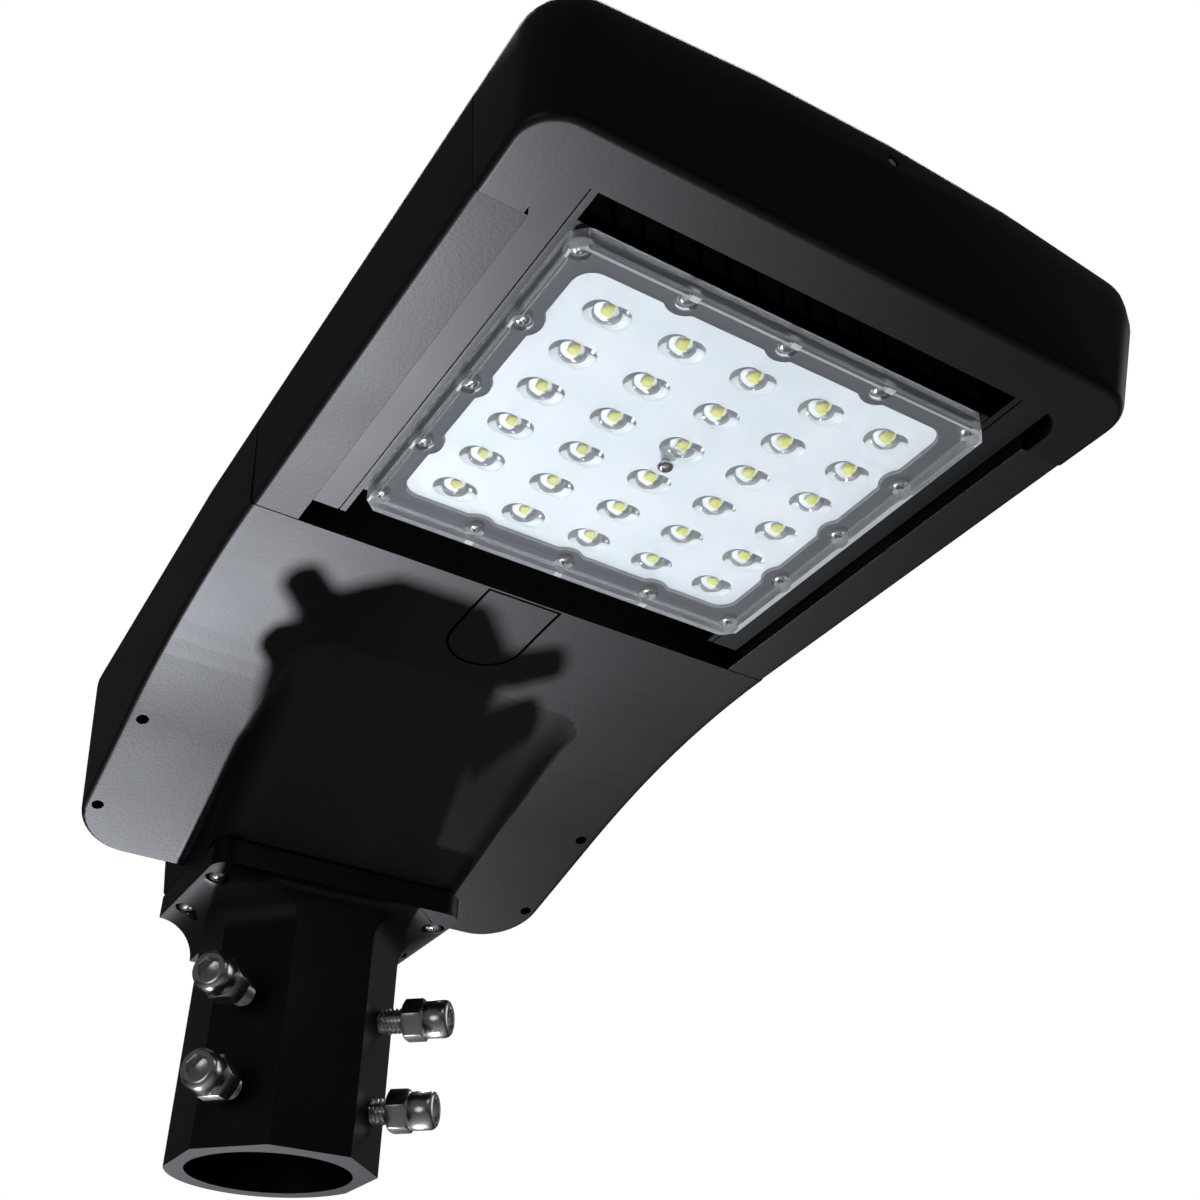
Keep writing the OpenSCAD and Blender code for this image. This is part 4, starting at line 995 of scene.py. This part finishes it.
class GearOperator(bpy.types.Operator):
    """Driver, surge protector, terminal block and the latch's coil springs"""
    bl_idname = PREFIX + "gear"
    bl_label = "Gear"

    def execute(self, context):
        self.driver()
        self.surge_protector()
        self.terminal_block()
        self.springs()
        return {"FINISHED"}

    def driver(self):
        """A folded sheet case: rounded long edges, end caps and three pressed ribs."""
        case = cad_copy("driver", "driver_case")
        low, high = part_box("driver")
        top, middle = high.z, (low.y + high.y) / 2
        cap, wide, deep = 14.5 * MM, 0.5 * MM, 0.4 * MM
        for side in (-1, 1):
            x = side * (high.x - cap)
            groove = block((min(x, x + side * wide), low.y - MM, low.z + 2.4 * MM),
                           (max(x, x + side * wide), high.y + MM, top + MM))
            core = block((-high.x, low.y + deep, low.z), (high.x, high.y - deep, top - deep))
            cut(groove, core)
            cut(case, groove)
        half_length, half_width = 54 * MM, 3 * MM
        for offset in (-16 * MM, 0, 16 * MM):
            rib = block((-half_length, middle + offset - half_width, top - 0.6 * MM),
                        (half_length, middle + offset + half_width, top + MM))
            round_edges(rib, 0.5 * MM, 2)
            cut(case, rib)
        soften(case, 0.8 * MM, 3, 50)
        dress(case, FINISHES["white_case"], "driver")

    def surge_protector(self):
        """A potted plastic case with a groove at its lid's seam and a round status window."""
        case = cad_copy("surge_protector", "surge_case")
        low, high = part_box("surge_protector")
        lid = high.z - 4 * MM
        seam_line = block((low.x - MM, low.y - MM, lid), (high.x + MM, high.y + MM, lid + 0.5 * MM))
        core = block((low.x + 0.5 * MM, low.y + 0.5 * MM, lid - MM),
                     (high.x - 0.5 * MM, high.y - 0.5 * MM, lid + 2 * MM))
        cut(seam_line, core)
        cut(case, seam_line)
        middle = (low + high) / 2
        spot = (middle.x, middle.y - 5 * MM)
        well = lathe("well", [(0, high.z - MM), (2.6 * MM, high.z - MM),
                              (2.6 * MM, high.z + MM), (0, high.z + MM)], 32)
        place(well, Matrix.Translation((*spot, 0)))
        cut(case, well)
        soften(case, 0.7 * MM, 3, 50)
        dress(case, FINISHES["blue_case"], "surge_protector")
        window = lathe("status_window", [(0, high.z - 0.25 * MM), (1.6 * MM, high.z - 0.4 * MM),
                                         (2.5 * MM, high.z - 0.8 * MM),
                                         (2.5 * MM, high.z - 1.1 * MM), (0, high.z - 1.1 * MM)], 32)
        place(window, Matrix.Translation((*spot, 0)))
        smooth(window)
        dress(window, FINISHES["window"], "surge_protector")

    def terminal_block(self):
        """A moulded block with a narrow slot cut between each pair of inner poles."""
        body = cad_copy("terminal_block", "terminal_body")
        low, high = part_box("terminal_block")
        poles = sorted({round((a.x + b.x) / 2, 4) for a, b in solids("terminal_screws")})
        inner = [x for x in poles if low.x + 5 * MM < x < high.x - 5 * MM]
        for first, second in zip(inner, inner[1:]):
            x = (first + second) / 2
            cut(body, block((x - 0.5 * MM, low.y - MM, high.z - 3 * MM),
                            (x + 0.5 * MM, high.y + MM, high.z + MM)))
        soften(body, 0.4 * MM, 2, 50)
        dress(body, FINISHES["ivory_case"], "terminal_block")

    def springs(self):
        """Torsion springs on the latch pin, wound close."""
        wire, turns = 0.4 * MM, 5
        coils = []
        for low, high in solids("latch_spring"):
            middle = (low + high) / 2
            radius = (high.z - low.z) / 2 - wire
            length = high.x - low.x - 2 * wire
            points = [(radius + wire * math.cos(a), wire * math.sin(a))
                      for a in [math.tau * i / 10 for i in range(11)]]
            coil = profile("coil", points)
            leave_mesh()
            modify(coil, "SCREW", axis="Z", angle=math.tau, screw_offset=length / turns, steps=20,
                   render_steps=20, iterations=turns, use_merge_vertices=True,
                   merge_threshold=WELD)
            turn_out(coil)
            # the wire's two open ends get their faces
            edit_mesh(coil, "DESELECT")
            bpy.ops.mesh.select_mode(type="EDGE")
            bpy.ops.mesh.select_non_manifold()
            bpy.ops.mesh.edge_face_add()
            bpy.ops.mesh.select_mode(type="VERT")
            leave_mesh()
            turn_out(coil)
            smooth(coil, 50)
            start = middle - Vector((length / 2, 0, 0))
            place(coil, aim(start, (1, 0, 0)))
            coils.append(coil)
        spring = join(*coils)
        spring.name = "coil_springs"
        dress(spring, FINISHES["spring"], "latch_spring")


class CarriedOperator(bpy.types.Operator):
    """Finishes on the CAD nodes whose shape is right"""
    bl_idname = PREFIX + "carried"
    bl_label = "Carried nodes"

    def execute(self, context):
        rows = {
            "rubber": ["fitter_gasket", "cover_gasket", "lead_grommet", "neck_grommet"],
            "silicone": ["lens_gasket"],
            "galvanised": ["gear_tray"],
            "green_steel": ["ground_screw"],
            "red_lead": ["driver_leads", "module_leads"],
            "black_plastic": ["breather_vent"],
            "spring": ["latch_keeper"],
            "zinc": ["hinge_pins", "latch_pin", "terminal_screws"],
            "solder_mask": ["led_board"],
        }
        for finish, nodes in rows.items():
            for node in nodes:
                mesh = frame["nodes"][node].data
                mesh.materials.clear()
                mesh.materials.append(FINISHES[finish])
        return {"FINISHED"}


class StageOperator(bpy.types.Operator):
    """Pale floor, soft studio light and the camera"""
    bl_idname = PREFIX + "stage"
    bl_label = "Stage"

    def execute(self, context):
        scene = context.scene
        scene.view_settings.view_transform = "Standard"
        self.camera(scene)
        self.floor()
        self.world(scene)
        # the key comes from low behind the fitter and throws its shadow on the underside;
        # the others are weak and fill in from the left, above, the right and behind
        self.lamp("key_light", (0.22, 1.12, -1.33), (0.0, -0.15, 0.12), 0.07, 31, "#f2f6ff")
        self.lamp("left_fill", (-1.6, -0.9, -0.3), (0.0, -0.15, 0.12), 0.8, 1.4)
        self.lamp("top_light", (0.5, 0.6, 1.9), (0.0, -0.15, 0.15), 1.6, 32)
        self.lamp("right_softbox", (1.9, -0.3, 0.7), (0.0, -0.15, 0.15), 1.2, 3)
        self.lamp("rear_softbox", (0.8, 1.9, 0.9), (0.0, -0.15, 0.15), 1.2, 12)
        return {"FINISHED"}

    def camera(self, scene):
        across = Vector((0.85124, -0.52458, 0.01460))
        down = Vector((0.30405, 0.47033, -0.82846))
        ahead = Vector((0.42772, 0.70965, 0.55986))
        data = bpy.data.cameras.new("photo_camera")
        data.sensor_width = 36
        data.lens = 45.66
        data.clip_start = 0.01
        camera = bpy.data.objects.new("photo_camera", data)
        turn = Matrix((across, -down, -ahead)).transposed().to_4x4()
        camera.matrix_world = Matrix.Translation((-0.1995, -0.5595, -0.1366)) @ turn
        scene.collection.objects.link(camera)
        scene.camera = camera

    def floor(self):
        deselect()
        bpy.ops.mesh.primitive_plane_add(size=30, location=(0, 0, -1.7))
        floor = bpy.context.object
        floor.name = "studio_floor"
        material, tree = new_material("pale_floor")
        # the camera sees it pale, and it still takes the lamps' light and shadow
        path = add(tree, "LightPath")
        pale = add(tree, "Math", {0: path.outputs["Is Camera Ray"], 1: 0.72},
                   operation="MULTIPLY")
        shader = add(tree, "BsdfPrincipled", {
            "Base Color": linear("#b4b4b2"), "Roughness": 0.8, "Specular IOR Level": 0.1,
            "Emission Color": linear("#f6f6f4"), "Emission Strength": pale.outputs[0]})
        add(tree, "OutputMaterial", {"Surface": shader.outputs["BSDF"]})
        floor.data.materials.append(material)
        settle(floor)

    def world(self, scene):
        world = bpy.data.worlds.new("soft_studio")
        world.use_nodes = True
        tree = world.node_tree
        tree.nodes.clear()
        path = add(tree, "LightPath").outputs
        # the clear panel shows the white surroundings, but they don't light the board
        first = add(tree, "Math", {0: path["Diffuse Depth"], 1: 0.5}, operation="LESS_THAN")
        through = add(tree, "Math", {0: path["Is Transmission Ray"], 1: first.outputs[0]},
                      operation="MULTIPLY")
        seen = add(tree, "Math", {0: path["Is Camera Ray"], 1: through.outputs[0]},
                   operation="MAXIMUM")
        soft, shiny, white = [
            add(tree, "Background", {"Color": linear("#ffffff"), "Strength": strength}).outputs[0]
            for strength in (0.03, 0.06, 1.0)]
        gloss = add(tree, "MixShader", {0: path["Is Glossy Ray"], 1: soft, 2: shiny})
        both = add(tree, "MixShader", {0: seen.outputs[0], 1: gloss.outputs[0], 2: white})
        add(tree, "OutputWorld", {"Surface": both.outputs[0]})
        scene.world = world

    def lamp(self, name, spot, target, size, power, tint="#ffffff"):
        data = bpy.data.lights.new(name, "AREA")
        data.shape = "DISK"
        data.size = size
        data.energy = power
        data.color = linear(tint)[:3]
        lamp = bpy.data.objects.new(name, data)
        turn = (Vector(target) - Vector(spot)).to_track_quat("-Z", "Y")
        lamp.matrix_world = Matrix.Translation(spot) @ turn.to_matrix().to_4x4()
        # the panel already lets shadow rays through, so its light is counted once
        lamp.visible_transmission = False
        bpy.context.scene.collection.objects.link(lamp)


class LightPanel(bpy.types.Panel):
    """Buttons for each piece of the area light"""
    bl_label = "Area light"
    bl_idname = "VIEW3D_PT_area_light"
    bl_space_type = "VIEW_3D"
    bl_region_type = "UI"
    bl_category = "Area light"

    def draw(self, context):
        for step in STEPS:
            self.layout.operator(step.bl_idname)
        for group in GROUPS:
            settings = getattr(context.scene, group)
            for key in settings.__annotations__:
                self.layout.prop(settings, key)


STEPS = [StageOperator, CastingsOperator, ScrewsOperator, BoltsOperator, OpticsOperator,
         GearOperator, CarriedOperator]
GROUPS = {"area_light_edges": EdgeSettings, "area_light_fasteners": FastenerSettings,
          "area_light_neck": NeckSettings}
CLASSES = [*GROUPS.values(), *STEPS, LightPanel]


def register():
    for cls in CLASSES:
        bpy.utils.register_class(cls)
    for name, group in GROUPS.items():
        setattr(bpy.types.Scene, name, bpy.props.PointerProperty(type=group))


def unregister():
    for name in GROUPS:
        delattr(bpy.types.Scene, name)
    for cls in reversed(CLASSES):
        bpy.utils.unregister_class(cls)


def main():
    register()
    make_finishes()
    for step in STEPS:
        group, name = step.bl_idname.split(".")
        getattr(getattr(bpy.ops, group), name)()


if __name__ == "__main__":
    main()
